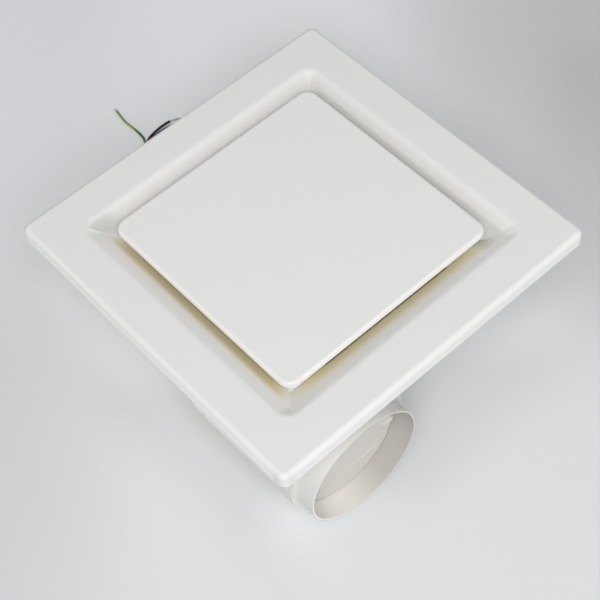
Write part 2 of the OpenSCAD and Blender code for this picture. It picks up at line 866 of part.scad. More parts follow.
module backdraft_flap() {
  color(white_plastic)
    at_flap() {
      translate([-flap_t / 2, 0, flap_offset])
        rotate([0, 90, 0])
          intersection() {
            cylinder(r = flap_r, h = flap_t);
            translate([-flap_r, -flap_flat, 0]) cube([2 * flap_r, 2 * flap_flat, flap_t]);
          }
      for (side = [-1, 1])
        rotate([side * -90, 0, 0]) {
          translate([0, 0, flap_flat - flap_hub_w]) cylinder(r = flap_hub_r, h = flap_hub_w);
          translate([0, 0, flap_flat - eps]) cylinder(r = flap_pin_r, h = pin_reach - flap_flat);
        }
      for (z = flap_rib_at)
        translate([0, -flap_rib_length / 2, z]) cube([flap_t / 2 + flap_rib_h, flap_rib_length, flap_rib_t]);
    }
}

// Motor

module bearing_shield(base_z, height, boss_z, boss_h, boss_bore_z) {
  difference() {
    union() {
      translate([0, 0, base_z]) cylinder(r = motor_r, h = height);
      translate([0, 0, boss_z]) cylinder(r = bearing_boss_r, h = boss_h);
    }
    children();
    translate([0, 0, boss_bore_z]) cylinder(r = bearing_r, h = bearing_h);
  }
}

module motor_lower_shield() {
  color(steel)
    at_fan() {
      difference() {
        union() {
          translate([0, 0, shield_z]) cylinder(r = motor_r, h = stator_z - shield_z);
          for (angle = ear_angles)
            rotate(angle) {
              translate([motor_r - ear_root, -ear_end_r, ear_z])
                cube([ear_ring_r - motor_r + ear_root, 2 * ear_end_r, ear_t]);
              translate([ear_ring_r, 0, ear_z]) cylinder(r = ear_end_r, h = ear_t);
            }
        }
        difference() {
          translate([0, 0, shield_z + shield_wall]) cylinder(r = motor_r - shield_wall, h = stator_z);
          translate([0, 0, shield_z]) cylinder(r = bearing_boss_r, h = shield_wall + bearing_h + 1);
          for (angle = through_angles)
            rotate(angle)
              translate([through_ring_r, 0, shield_z]) cylinder(r = through_boss_r, h = stator_z - shield_z);
        }
        translate([0, 0, lower_bearing_z]) cylinder(r = bearing_r, h = bearing_h + beyond);
        for (angle = ear_angles)
          rotate(angle)
            translate([ear_ring_r, 0, ear_z - beyond]) cylinder(r = grommet_neck_r, h = ear_t + 2 * beyond);
        for (angle = through_angles)
          rotate(angle) translate([through_ring_r, 0, shield_z + 3]) cylinder(r = through_r, h = stator_z);
      }
    }
}

module motor_upper_shield() {
  color(steel)
    at_fan()
      difference() {
        union() {
          translate([0, 0, stator_top_z]) cylinder(r = motor_r, h = upper_shield_h);
          translate([0, 0, shield_top_z - eps])
            cylinder(r = bearing_boss_r, h = boss_top_z - shield_top_z + eps);
        }
        difference() {
          translate([0, 0, stator_top_z - beyond])
            cylinder(r = motor_r - shield_wall, h = upper_shield_h - shield_wall + beyond);
          translate([0, 0, upper_bearing_z - 1]) cylinder(r = bearing_boss_r, h = bearing_h);
          for (angle = through_angles)
            rotate(angle)
              translate([through_ring_r, 0, stator_top_z]) cylinder(r = through_boss_r, h = upper_shield_h);
        }
        translate([0, 0, upper_bearing_z - beyond]) cylinder(r = bearing_r, h = bearing_h + beyond);
        translate([0, 0, upper_bearing_z]) cylinder(r = shaft_r + 0.5, h = bearing_h * 2);
        for (angle = through_angles)
          rotate(angle)
            translate([through_ring_r, 0, stator_top_z - beyond])
              cylinder(r = through_r + through_hole_gap, h = upper_shield_h + 2 * beyond);
      }
}

module stator_core() {
  color(dark_steel)
    at_fan()
      translate([0, 0, stator_z])
        difference() {
          ring(stator_r, rotor_r + air_gap, stator_h);
          for (slot = [0:slot_count - 1])
            rotate(slot * 360 / slot_count + 15)
              translate([slot_ring_r, 0, -beyond]) cylinder(r = slot_r, h = stator_h + 2 * beyond);
          for (angle = through_angles)
            rotate(angle)
              translate([through_ring_r, 0, -beyond])
                cylinder(r = through_r + through_hole_gap, h = stator_h + 2 * beyond);
        }
}

// Two end turns joined through the slots
module stator_winding() {
  color(copper)
    at_fan() {
      for (z = [stator_z - end_turn_h - winding_gap, stator_top_z + winding_gap])
        translate([0, 0, z]) ring(slot_ring_r + end_turn_out, slot_ring_r - end_turn_in, end_turn_h);
      for (slot = [0:slot_count - 1])
        rotate(slot * 360 / slot_count + 15)
          translate([slot_ring_r, 0, stator_z - 1]) cylinder(r = slot_r - winding_gap, h = stator_h + 2);
    }
}

module motor_through_screws() {
  length = shield_top_z - stator_z + through_reach;
  color(steel)
    round_fan(through_ring_r, through_angles)
      translate([0, 0, shield_top_z])
        pan_screw(through_r - screw_fit, length, through_head_r, through_head_h);
}

module sleeve_bearing(z) {
  color(bronze)
    at_fan() translate([0, 0, z]) ring(bearing_r - 0.02, shaft_r + running_fit, bearing_h);
}

module lower_bearing() {
  sleeve_bearing(lower_bearing_z);
}

module upper_bearing() {
  sleeve_bearing(upper_bearing_z);
}

module motor_grommets() {
  seat_z = floor_z + motor_boss_h;
  color(rubber)
    round_fan(ear_ring_r, ear_angles)
      translate([0, 0, seat_z])
        difference() {
          cylinder(r = grommet_r, h = grommet_h);
          translate([0, 0, ear_z - seat_z - grommet_fit])
            ring(grommet_r + beyond, grommet_neck_r - grommet_fit, ear_t + 2 * grommet_fit);
          translate([0, 0, -beyond]) cylinder(r = mount_screw_r + 0.1, h = grommet_h + 2 * beyond);
        }
}

module motor_mount_screws() {
  head_z = floor_z + motor_boss_h + grommet_h;
  length = grommet_h + motor_boss_h + mount_bite;
  color(steel)
    round_fan(ear_ring_r, ear_angles)
      translate([0, 0, head_z]) {
        cylinder(r = mount_washer_r, h = mount_washer_t);
        translate([0, 0, mount_washer_t])
          pan_screw(mount_screw_r - screw_fit, length, mount_head_r, mount_head_h);
      }
}

// Rotor

module motor_shaft() {
  color(steel)
    at_fan()
      translate([0, 0, shaft_low_z]) {
        cylinder(r = shaft_r, h = shaft_top_z - shaft_low_z - shaft_point);
        translate([0, 0, shaft_top_z - shaft_low_z - shaft_point])
          cylinder(r1 = shaft_r, r2 = shaft_r - shaft_point, h = shaft_point);
      }
}

module motor_rotor() {
  color(dark_steel)
    at_fan()
      translate([0, 0, stator_z]) {
        ring(rotor_r, shaft_r + screw_fit, stator_h);
        for (z = [-end_ring_h, stator_h])
          translate([0, 0, z]) ring(rotor_r - end_ring_out, rotor_r - end_ring_in, end_ring_h);
      }
}

module impeller() {
  inner_round = hat_round - hat_wall;
  shroud_z = shroud_top_z - shroud_t;
  color(cream_plastic)
    at_fan() {
      rotate_extrude() {
        translate([hat_r - hat_wall, back_ring_z]) square([impeller_r - hat_r + hat_wall, ring_t]);
        translate([hat_r - hat_wall, back_ring_z]) square([hat_wall, hat_top_z - hat_round - back_ring_z]);
        translate([hat_r - hat_round, hat_top_z - hat_round])
          intersection() {
            difference() {
              circle(hat_round);
              circle(inner_round);
            }
            square(hat_round);
          }
        translate([hub_bore_r, hat_top_z - hat_wall]) square([hat_r - hat_round - hub_bore_r, hat_wall]);
        translate([hub_bore_r, hat_top_z - hat_wall - hub_skirt])
          square([hub_r - hub_bore_r, hub_h + hat_wall + hub_skirt]);
        translate([blade_in_r + shroud_inset, shroud_z])
          square([impeller_r + shroud_step - blade_in_r - shroud_inset, shroud_t]);
      }
      for (blade = [0:blade_count - 1])
        rotate(blade * 360 / blade_count)
          translate([blade_in_r, blade_bow_r, back_ring_z + ring_t - blade_root_sink])
            rotate(-90)
              rotate_extrude(angle = blade_turn)
                translate([blade_bow_r - blade_t / 2, 0])
                  square([blade_t, shroud_z - back_ring_z - ring_t + 2 * blade_root_sink]);
      for (web = [0:web_count - 1])
        rotate(web * 360 / web_count)
          translate([hub_r - web_sink, -web_t / 2, hat_top_z - eps])
            rotate([90, 0, 0])
              translate([0, 0, -web_t]) linear_extrude(web_t) polygon([[0, 0], [web_length, 0], [0, web_h]]);
    }
}

module impeller_washer() {
  color(steel)
    at_fan() translate([0, 0, hub_top_z]) ring(hub_r - washer_inset, shaft_r + washer_gap, washer_t);
}

module impeller_nut() {
  color(steel)
    at_fan()
      translate([0, 0, hub_top_z + washer_t])
        difference() {
          cylinder(r = nut_r, h = nut_t, $fn = 6);
          translate([0, 0, -beyond]) cylinder(r = shaft_r + screw_fit, h = nut_t + 2 * beyond);
        }
}

// Wiring

module motor_lead() {
  color(rubber) tube(lead_route, lead_d, 12);
}

// Flanged rubber bush that fills a hole in the housing's wall
module bush(hole_r) {
  difference() {
    union() {
      cylinder(r = hole_r - 0.02, h = shell_wall + 2.4);
      cylinder(r = hole_r + 1.2, h = 1.2);
    }
    translate([0, 0, -beyond]) cylinder(d = lead_d + 0.04, h = shell_wall + 4);
  }
}

module lead_grommets() {
  hole_r = lead_d / 2 + grommet_wall;
  color(black_plastic) {
    at_fan()
      rotate(lead_angle)
        translate([cup_r - shell_wall - 1.5, 0, lead_z]) rotate([0, 90, 0]) bush(hole_r);
    translate([lead_up[0], lead_up[1], deck_z + 1.2]) mirror([0, 0, 1]) bush(hole_r);
  }
}

module terminal_block() {
  color([0.88, 0.88, 0.84])
    translate([block_at[0], block_at[1], deck_z])
      difference() {
        union() {
          cube([block_size[0], block_size[1], block_size[2] - 3]);
          for (pole = [0:2])
            translate([1 + pole * pole_pitch, 1.5, 0]) cube([pole_w, block_size[1] - 3, block_size[2]]);
        }
        for (pole = [0:2])
          translate([1 + pole_w / 2 + pole * pole_pitch, block_size[1] / 2, block_size[2] - pole_depth])
            cylinder(r = 1.7, h = pole_depth + beyond);
      }
}

module terminal_screws() {
  color(steel)
    for (pole = [0:2])
      translate([
        block_at[0] + 1 + pole_w / 2 + pole * pole_pitch, block_at[1] + block_size[1] / 2,
        deck_z + block_size[2] - pole_depth
      ])
        difference() {
          cylinder(r = 1.6, h = 3);
          translate([-2, -0.25, 2.3]) cube([4, 0.5, 1]);
        }
}

module run_capacitor() {
  color(black_plastic)
    translate([capacitor_at[0], capacitor_at[1], deck_z + capacitor_size[2] - 2]) {
      translate([0, 0, 2 - capacitor_size[2]])
        cube([capacitor_size[0], capacitor_size[1], capacitor_size[2] - 1]);
      translate([1, 1, 0]) cube([capacitor_size[0] - 2, capacitor_size[1] - 2, 2]);
    }
}

// Three short leads from the strain relief to the terminal block
module supply_leads() {
  start_x = -tray_in_half + relief_inside;
  color([0.5, 0.35, 0.2])
    for (lead = [-1, 0, 1])
      translate([start_x, supply_y + lead * 2.6, supply_z - abs(lead) * 1.5])
        rotate([0, 90, 0]) cylinder(d = core_d, h = block_at[0] - start_x - 0.1);
}

module wiring_cover() {
  color(white_plastic)
    difference() {
      translate([0, 0, bay_top_z])
        linear_extrude(cover_t)
          intersection() {
            bay_outline(bay_wall);
            rounded_square(tray_in_half - moving_gap, tray_corner_r - shell_wall);
          }
      for (at = bay_screws)
        translate([at[0], at[1], bay_top_z - beyond])
          cylinder(r = screw_r + screw_hole_gap, h = cover_t + 2 * beyond);
    }
}

module wiring_cover_screws() {
  color(steel)
    for (at = bay_screws)
      translate([at[0], at[1], bay_top_z + cover_t])
        pan_screw(screw_r - screw_fit, cover_screw_length, cover_head_r, cover_head_h);
}

// Tapered bush that grips the supply cable in the tray's wall
module strain_relief() {
  length = relief_inside - tray_in_half - relief_end_x;
  rib_pitch = 3.6;
  color(black_plastic)
    translate([relief_end_x, supply_y, supply_z])
      rotate([0, 90, 0])
        rotate_extrude() {
          polygon([
            [0, 0], [relief_tip_r, 0], [relief_neck_r, relief_nose], [relief_neck_r, length], [0, length]
          ]);
          translate([0, relief_nose]) square([relief_r, relief_flange_t]);
          for (rib = [0:3])
            translate([0, 2 + rib * rib_pitch]) square([relief_tip_r + 0.6 + rib * 0.2, 2]);
        }
}

// Cords

function unit(v) = v / norm(v);
function heading(route, i) = unit(route[min(i + 1, len(route) - 1)] - route[max(i - 1, 0)]);
function sides_of(route, i, last) =
  i == len(route) ? [] :
  let (ahead = heading(route, i), side = unit(last - (last * ahead) * ahead))
  concat([side], sides_of(route, i + 1, side));

// Round tube along a route, one ring of points at each of the route's points
module tube(route, diameter, count) {
  side = sides_of(route, 0, [0, 0, 1]);
  rings = [
    for (i = [0:len(route) - 1], k = [0:count - 1])
      let (across = cross(heading(route, i), side[i]), angle = 360 * k / count)
      route[i] + diameter / 2 * (cos(angle) * side[i] + sin(angle) * across)
  ];
  walls = [
    for (i = [0:len(route) - 2], k = [0:count - 1], half = [0, 1])
      let (a = i * count + k, b = i * count + (k + 1) % count)
      half == 0 ? [a, a + count, b] : [b, a + count, b + count]
  ];
  last = (len(route) - 1) * count;
  near_cap = [for (k = [0:count - 1]) k];
  far_cap = [for (k = [count - 1:-1:0]) last + k];
  polyhedron(rings, concat(walls, [near_cap, far_cap]));
}

module power_cable() {
  color(white_plastic) tube(cable_route, cable_d, 12);
}

module live_core() {
  color([0.3, 0.14, 0.08]) tube(live_route, core_d, 8);
}

module neutral_core() {
  color([0.1, 0.25, 0.55]) tube(neutral_route, core_d, 8);
}

module earth_core() {
  color([0.25, 0.5, 0.15]) tube(earth_route, core_d, 8);
}

// Bare tinned strands at the end of each core
module core_tips() {
  color(steel) {
    tube([live_route[len(live_route) - 1], live_tip], tip_d, 8);
    tube([neutral_route[len(neutral_route) - 1], neutral_tip], tip_d, 8);
    tube([earth_route[len(earth_route) - 1], earth_tip], tip_d, 8);
  }
}

// Fascia

// Half profile of the recess and air opening, to be cut away
module recess_cut_profile() {
  top = face_z + beyond;
  difference() {
    polygon([
      [0, lip_z - 5 * beyond], [opening_half, lip_z - 5 * beyond], [opening_half, opening_z],
      [recess_half - roll_run * cos(slope_angle), face_z - roll_run * sin(slope_angle)],
      [recess_half + roll_run, face_z], [recess_half + roll_run, top], [0, top]
    ]);
    translate([recess_half + roll_run, face_z - recess_roll_r]) circle(recess_roll_r);
  }
}

// Half profile of the outside of the recess wall
module recess_wall_profile() {
  drop = face_wall / cos(slope_angle);
  slope = recess_slope_h / recess_slope_w;
  lip_x = opening_half + face_wall;
  plate_x = recess_half + (drop - face_wall) / slope;
  polygon([
    [0, lip_z], [lip_x, lip_z], [lip_x, opening_z - drop + slope * face_wall],
    [plate_x, face_under_z], [plate_x, face_under_z + 1], [0, face_under_z + 1]
  ]);
}

// Bracket and arbor for one fascia spring
module spring_bracket(side) {
  translate([side * spring_x, 0, 0]) {
    for (way = [-1, 1])
      translate([way > 0 ? ear_in : -ear_in - spring_ear_t, -spring_ear_w / 2, ear_low_z])
        cube([spring_ear_t, spring_ear_w, face_under_z - ear_low_z]);
    translate([-ear_in - eps, 0, coil_z]) rotate([0, 90, 0]) cylinder(r = arbor_r, h = 2 * ear_in + 2 * eps);
  }
}

module fascia_frame() {
  reach = face_half - face_corner_r;
  recess_reach = recess_half + roll_run;
  color(white_plastic)
    difference() {
      union() {
        translate([0, 0, ceiling_z])
          around_square(reach) shell_edge(face_corner_r, face_depth, face_edge_r, face_wall);
        translate([-reach, -reach, face_under_z]) cube([2 * reach, 2 * reach, face_wall]);
        difference() {
          union() {
            square_funnel(recess_half + face_wall) recess_wall_profile();
            for (turn = [0:90:270]) rotate(turn) locating_ribs();
            for (side = [-1, 1]) spring_bracket(side);
          }
          translate([-reach, -reach, face_under_z + 1]) cube([2 * reach, 2 * reach, face_wall]);
        }
      }
      square_funnel(recess_reach) recess_cut_profile();
    }
  color(white_plastic)
    for (turn = [0:90:270])
      rotate(turn) panel_socket();
}

// Two ribs that rest on the ceiling flange along one side
module locating_ribs() {
  for (y = [-rib_at, rib_at])
    translate([rib_in, y - rib_t / 2, flange_z + moving_gap])
      cube([face_half - face_wall - rib_in + eps, rib_t, face_under_z - flange_z - moving_gap + eps]);
}

// Web across one corner of the air opening, with the socket of a panel post
module panel_socket() {
  difference() {
    union() {
      translate([0, 0, lip_z])
        linear_extrude(gusset_t)
          polygon([
            [opening_half + eps, opening_half + eps], [opening_half - gusset_leg, opening_half + eps],
            [opening_half + eps, opening_half - gusset_leg]
          ]);
      translate([post_offset, post_offset, socket_z]) cylinder(r = socket_out_r, h = socket_h);
    }
    translate([post_offset, post_offset, socket_z - beyond])
      cylinder(r = post_r + moving_gap, h = socket_h + 2 * beyond);
  }
}

// Springs that hold the fascia, each a coil on its arbor with two legs

module spring_coil(side) {
  color(steel)
    translate([side * spring_x, 0, coil_z])
      rotate([0, 90, 0])
        for (turn = [0:coil_turns - 1])
          translate([0, 0, (turn - (coil_turns - 1) / 2) * coil_pitch])
            rotate_extrude() translate([coil_r, 0]) circle(spring_wire_r, $fn = 24);
}

// One leg with its end turn; way is +1 for the leg that reaches towards +Y
module spring_leg_piece(side, way) {
  leg_r = spring_wire_r - 0.05;
  tip = 0.4;
  color(steel)
    translate([side * spring_x + way * ring_spacing, 0, coil_z]) {
      rotate([0, 90, 0]) rotate_extrude() translate([coil_r, 0]) circle(spring_wire_r, $fn = 24);
      rotate([way * (spring_rest_angle - 180), 0, 0])
        translate([0, way * coil_r, 0]) {
          cylinder(r = leg_r, h = spring_leg - tip);
          translate([0, 0, spring_leg - tip]) cylinder(r1 = leg_r, r2 = leg_r - tip, h = tip);
        }
    }
}

module left_spring_coil() {
  spring_coil(-1);
}

module right_spring_coil() {
  spring_coil(1);
}

module left_spring_leg_front() {
  spring_leg_piece(-1, -1);
}

module left_spring_leg_rear() {
  spring_leg_piece(-1, 1);
}

module right_spring_leg_front() {
  spring_leg_piece(1, -1);
}

module right_spring_leg_rear() {
  spring_leg_piece(1, 1);
}

// Centre panel

module centre_panel() {
  reach = panel_half - panel_corner_r;
  shoulder_z = socket_z + socket_h + moving_gap;
  color(white_plastic) {
    translate([0, 0, panel_z - panel_edge_h])
      around_square(reach) shell_edge(panel_corner_r, panel_edge_h, panel_edge_r, panel_wall);
    translate([-reach, -reach, panel_under_z]) cube([2 * reach, 2 * reach, panel_wall]);
    for (x = [-1, 1], y = [-1, 1])
      translate([x * post_offset, y * post_offset, 0]) {
        translate([0, 0, shoulder_z]) cylinder(r = post_shoulder_r, h = panel_under_z - shoulder_z + eps);
        translate([0, 0, socket_z - post_tip])
          cylinder(r = post_r, h = shoulder_z - socket_z + post_tip + eps);
      }
    for (turn = [0, 90], y = [-panel_rib_at, panel_rib_at])
      rotate(turn)
        translate([-reach, y - panel_rib_t / 2, panel_under_z - panel_rib_h])
          cube([2 * reach, panel_rib_t, panel_rib_h + eps]);
  }
}

housing_shell();
inlet_ring();
inlet_ring_screws();
duct_spigot();
spigot_seal();
spigot_screws();
motor_lower_shield();
motor_upper_shield();
stator_core();
stator_winding();
motor_through_screws();
lower_bearing();
upper_bearing();
motor_grommets();
motor_mount_screws();
motor_lead();
lead_grommets();
terminal_block();
terminal_screws();
run_capacitor();
supply_leads();
wiring_cover();
wiring_cover_screws();
strain_relief();
power_cable();
live_core();
neutral_core();
earth_core();
core_tips();
motor_shaft();
motor_rotor();
impeller();
impeller_washer();
impeller_nut();
backdraft_flap();
fascia_frame();
left_spring_coil();
right_spring_coil();
left_spring_leg_front();
left_spring_leg_rear();
right_spring_leg_front();
right_spring_leg_rear();
centre_panel();
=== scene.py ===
import bpy
import math
from mathutils import Vector, Matrix


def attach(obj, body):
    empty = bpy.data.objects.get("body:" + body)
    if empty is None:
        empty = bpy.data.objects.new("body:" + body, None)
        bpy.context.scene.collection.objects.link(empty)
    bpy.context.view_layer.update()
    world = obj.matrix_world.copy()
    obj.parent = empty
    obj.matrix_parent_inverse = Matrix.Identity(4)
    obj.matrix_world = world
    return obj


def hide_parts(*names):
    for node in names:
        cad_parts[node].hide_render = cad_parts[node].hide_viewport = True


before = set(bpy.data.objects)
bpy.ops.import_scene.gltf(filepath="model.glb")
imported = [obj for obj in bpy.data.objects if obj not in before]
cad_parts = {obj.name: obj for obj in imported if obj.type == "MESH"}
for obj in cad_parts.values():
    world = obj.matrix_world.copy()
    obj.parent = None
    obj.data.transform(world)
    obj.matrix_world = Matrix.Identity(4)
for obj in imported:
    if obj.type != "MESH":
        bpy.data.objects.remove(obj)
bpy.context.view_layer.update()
print("frame loaded,", len(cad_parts), "nodes")


# the camera, at the place that the view is taken from
cameraSettings = {
    "place": (0.5141, -0.4001, 0.9993),
    "turn": (34.59, 3.193, 47.878),      # degrees
    "lens": 88.7,                        # millimetres, as is the sensor
    "sensor": 36,
    "clip": (0.01, 30),
}
cameraData = bpy.data.cameras.new("camera")
cameraData.lens = cameraSettings["lens"]
cameraData.sensor_width = cameraSettings["sensor"]
cameraData.clip_start, cameraData.clip_end = cameraSettings["clip"]
camera = bpy.data.objects.new("camera", cameraData)
bpy.context.scene.collection.objects.link(camera)
camera.location = cameraSettings["place"]
camera.rotation_euler = [math.radians(v) for v in cameraSettings["turn"]]
bpy.context.scene.camera = camera
print("camera set")


def deselectAll():
    for ob in bpy.context.selected_objects:
        ob.select_set(False)


def smoothFaces(mesh):
    for poly in mesh.polygons:
        poly.use_smooth = True


def linkMesh(name, verts, faces, uvs):
    mesh = bpy.data.meshes.new(name)
    mesh.from_pydata(verts, [], faces)
    layer = mesh.uv_layers.new(name="alongCord")
    for loop, uv in zip(layer.data, uvs):
        loop.uv = uv
    ob = bpy.data.objects.new(name, mesh)
    bpy.context.scene.collection.objects.link(ob)
    smoothFaces(mesh)
    return ob


# a smooth curve through the points, with a point about every step metres
def smoothRoute(points, step):
    pts = [Vector(p) for p in points]
    first = pts[0] * 2 - pts[1]
    last = pts[-1] * 2 - pts[-2]
    pts = [first] + pts + [last]
    route = []
    for i in range(1, len(pts) - 2):
        a, b, c, d = pts[i - 1:i + 3]
        count = max(2, round((c - b).length / step))
        for k in range(count):
            t = k / count
            route.append(0.5 * ((2 * b) + (c - a) * t + (2 * a - 5 * b + 4 * c - d) * t * t
                                + (3 * b - a - 3 * c + d) * t * t * t))
    route.append(pts[-2])
    return route


# a round tube along a route, with u running round it and v along it in metres
def cordTube(name, route, diameter, sides):
    verts, faces, uvs, rings = [], [], [], []
    side = Vector((0, 0, 1))
    along = 0.0
    for i, p in enumerate(route):
        ahead = (route[min(i + 1, len(route) - 1)] - route[max(i - 1, 0)]).normalized()
        side = (side - side.dot(ahead) * ahead).normalized()
        across = ahead.cross(side)
        if i:
            along += (p - route[i - 1]).length
        rings.append(along)
        for k in range(sides):
            turn = 2 * math.pi * k / sides
            verts.append(p + diameter / 2 * (math.cos(turn) * side + math.sin(turn) * across))
    for i in range(len(route) - 1):
        for k in range(sides):
            a, b = i * sides + k, i * sides + (k + 1) % sides
            faces.append((a, b, b + sides, a + sides))
            uvs += [(k / sides, rings[i]), ((k + 1) / sides, rings[i]),
                    ((k + 1) / sides, rings[i + 1]), (k / sides, rings[i + 1])]
    last = (len(route) - 1) * sides
    faces.append(tuple(range(sides - 1, -1, -1)))
    faces.append(tuple(last + k for k in range(sides)))
    uvs += [(0.5, 0)] * sides + [(0.5, along)] * sides
    return linkMesh(name, verts, faces, uvs), along


def millimetres(points):
    return [(x / 1000, y / 1000, z / 1000) for x, y, z in points]


# the supply cable and its three cores lie on the same routes as the solids that they replace
cableSettings = {
    "diameter": 0.0066,
    "sides": 24,
    "step": 0.004,
    "route": millimetres([
        (-134, 100, 120.5), (-140, 100, 120.5), (-149.6, 99.6, 118.8), (-158, 99, 113.9),
        (-164, 98, 106.5), (-167.3, 96.5, 97.5), (-169.2, 94.4, 86.5), (-170.5, 91.5, 75),
        (-171.6, 88, 63.5), (-173, 83.8, 52), (-175.2, 79, 41), (-178.8, 73, 30.5),
        (-184.2, 66, 20.8), (-191, 58, 13), (-199, 49.5, 7.2), (-208, 41.5, 4.2),
        (-217.5, 35, 3.5), (-226.8, 31.4, 3.5), (-235.6, 30.6, 3.5), (-244, 32, 3.5),
    ]),
}
coreSettings = {
    "diameter": 0.0023,
    "sides": 16,
    "step": 0.0015,
    "slots": {"live": "core_brown", "neutral": "core_blue", "earth": "core_green"},
    "live": millimetres([
        (-243.9, 33.3, 2.7), (-249, 34.9, 2.2), (-254.5, 37.2, 1.5), (-258.6, 40.6, 1.3),
        (-260.6, 46, 1.3), (-261.8, 52, 1.3), (-262.4, 58.5, 1.3), (-262.3, 64, 1.3), (-262, 68, 1.3),
    ]),
    "neutral": millimetres([
        (-244.2, 32.05, 4.9), (-249, 34.3, 5), (-253, 37.3, 4.4), (-255.8, 41.2, 3),
        (-257.4, 46, 1.8), (-258.4, 51, 1.3), (-258.4, 57, 1.3), (-257.8, 62.5, 1.3), (-257, 67, 1.3),
    ]),
    "earth": millimetres([
        (-244.5, 30.8, 2.7), (-249.5, 32.4, 2.3), (-254, 34.2, 1.8), (-259, 36.9, 1.4),
        (-265, 38.9, 1.3), (-273, 39.3, 1.3), (-281, 38.9, 1.3), (-289, 38.6, 1.3),
        (-297, 39.5, 1.3), (-305.5, 41, 1.3),
    ]),
}
tipSettings = {
    "strandDiameter": 0.0005,
    "strandSides": 8,
    "outerStrands": 6,                   # round one in the middle
    "ringRadius": 0.0005,
    "turns": 0.9,
    "steps": 14,
    "uneven": 0.0006,                    # an outer strand ends up to three of these short
    "ends": {"live": (-0.258, 0.0773, 0.0013), "neutral": (-0.255, 0.076, 0.0013),
             "earth": (-0.3095, 0.0418, 0.0013)},
}


# bare strands twisted round each other, each extruded turn by turn from a small circle
def strandBundle(name, start, end):
    start, end = Vector(start), Vector(end)
    length = (end - start).length
    steps = tipSettings["steps"]
    strands = []
    for strand in range(tipSettings["outerStrands"] + 1):
        turn = 2 * math.pi * strand / tipSettings["outerStrands"]
        out = tipSettings["ringRadius"] if strand else 0
        reach = length - tipSettings["uneven"] * (strand * 5 % 4)
        deselectAll()
        bpy.ops.mesh.primitive_circle_add(vertices=tipSettings["strandSides"],
                                          radius=tipSettings["strandDiameter"] / 2, fill_type="NGON",
                                          location=(out * math.cos(turn), out * math.sin(turn), 0))
        ob = bpy.context.active_object
        ob.data.transform(ob.matrix_world)
        ob.matrix_world = Matrix.Identity(4)
        bpy.ops.object.mode_set(mode="EDIT")
        bpy.ops.mesh.select_all(action="SELECT")
        for step in range(steps):
            bpy.ops.mesh.extrude_region_move(TRANSFORM_OT_translate={"value": (0, 0, reach / steps)})
            bpy.ops.transform.rotate(value=2 * math.pi * tipSettings["turns"] / steps,
                                     orient_axis="Z", center_override=(0, 0, 0))
        bpy.ops.mesh.select_all(action="SELECT")
        bpy.ops.mesh.normals_make_consistent(inside=False)
        bpy.ops.object.mode_set(mode="OBJECT")
        strands.append(ob)
    deselectAll()
    for ob in strands:
        ob.select_set(True)
    bpy.context.view_layer.objects.active = strands[0]
    bpy.ops.object.join()
    bundle = bpy.context.active_object
    bundle.name = name
    turned = (end - start).to_track_quat("Z", "Y").to_matrix().to_4x4()
    bundle.data.transform(Matrix.Translation(start) @ turned)
    smoothFaces(bundle.data)
    return bundle


sheathRoute = smoothRoute(cableSettings["route"], cableSettings["step"])
sheath, sheathLength = cordTube("supplyCable", sheathRoute, cableSettings["diameter"],
                                cableSettings["sides"])
cores, tips, coreLengths = {}, {}, {}
for wire in ("live", "neutral", "earth"):
    route = smoothRoute(coreSettings[wire], coreSettings["step"])
    cores[wire], coreLengths[wire] = cordTube(wire + "Core", route, coreSettings["diameter"],
                                              coreSettings["sides"])
    tips[wire] = strandBundle(wire + "Strands", route[-1], tipSettings["ends"][wire])
    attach(cores[wire], "housing")
    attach(tips[wire], "housing")
    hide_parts(wire + "_core")
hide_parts("core_tips")
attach(sheath, "housing")
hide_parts("power_cable")
print("cords made, sheath", round(sheathLength, 3), "cores", {k: round(v, 3) for k, v in coreLengths.items()})


# a math node fed by sockets or plain numbers
def addMath(tree, kind, a, b=None, clamp=False):
    node = tree.nodes.new("ShaderNodeMath")
    node.operation = kind
    node.use_clamp = clamp
    for slot, value in enumerate((a, b)):
        if value is None:
            continue
        if isinstance(value, (int, float)):
            node.inputs[slot].default_value = value
        else:
            tree.links.new(value, node.inputs[slot])
    return node.outputs[0]


def times(tree, first, *others):
    for other in others:
        first = addMath(tree, "MULTIPLY", first, other)
    return first


# how far a noise lies from its middle, times an amount
def swing(tree, noise, amount):
    return times(tree, addMath(tree, "SUBTRACT", noise, 0.5), amount)


# a mix node's colours go into sockets 6 and 7 and come out of 2
def mixColour(tree, factor, a, b, kind="MIX"):
    node = tree.nodes.new("ShaderNodeMix")
    node.data_type = "RGBA"
    node.blend_type = kind
    for slot, value in ((0, factor), (6, a), (7, b)):
        if isinstance(value, (int, float, tuple)):
            node.inputs[slot].default_value = value
        else:
            tree.links.new(value, node.inputs[slot])
    return node.outputs[2]


def noiseAt(tree, vector, scale, detail=2.0, rough=0.5):
    node = tree.nodes.new("ShaderNodeTexNoise")
    tree.links.new(vector, node.inputs["Vector"])
    if isinstance(scale, (int, float)):
        node.inputs["Scale"].default_value = scale
    else:
        tree.links.new(scale, node.inputs["Scale"])
    node.inputs["Detail"].default_value = detail
    node.inputs["Roughness"].default_value = rough
    return node.outputs["Fac"]


def ownPoint(tree):
    return tree.nodes.new("ShaderNodeTexCoord").outputs["Object"]


def splitAxes(tree, vector):
    parts = tree.nodes.new("ShaderNodeSeparateXYZ")
    tree.links.new(vector, parts.inputs[0])
    return parts.outputs


# the object's own X, Y and Z, as three sockets
def ownAxes(tree):
    return splitAxes(tree, ownPoint(tree))


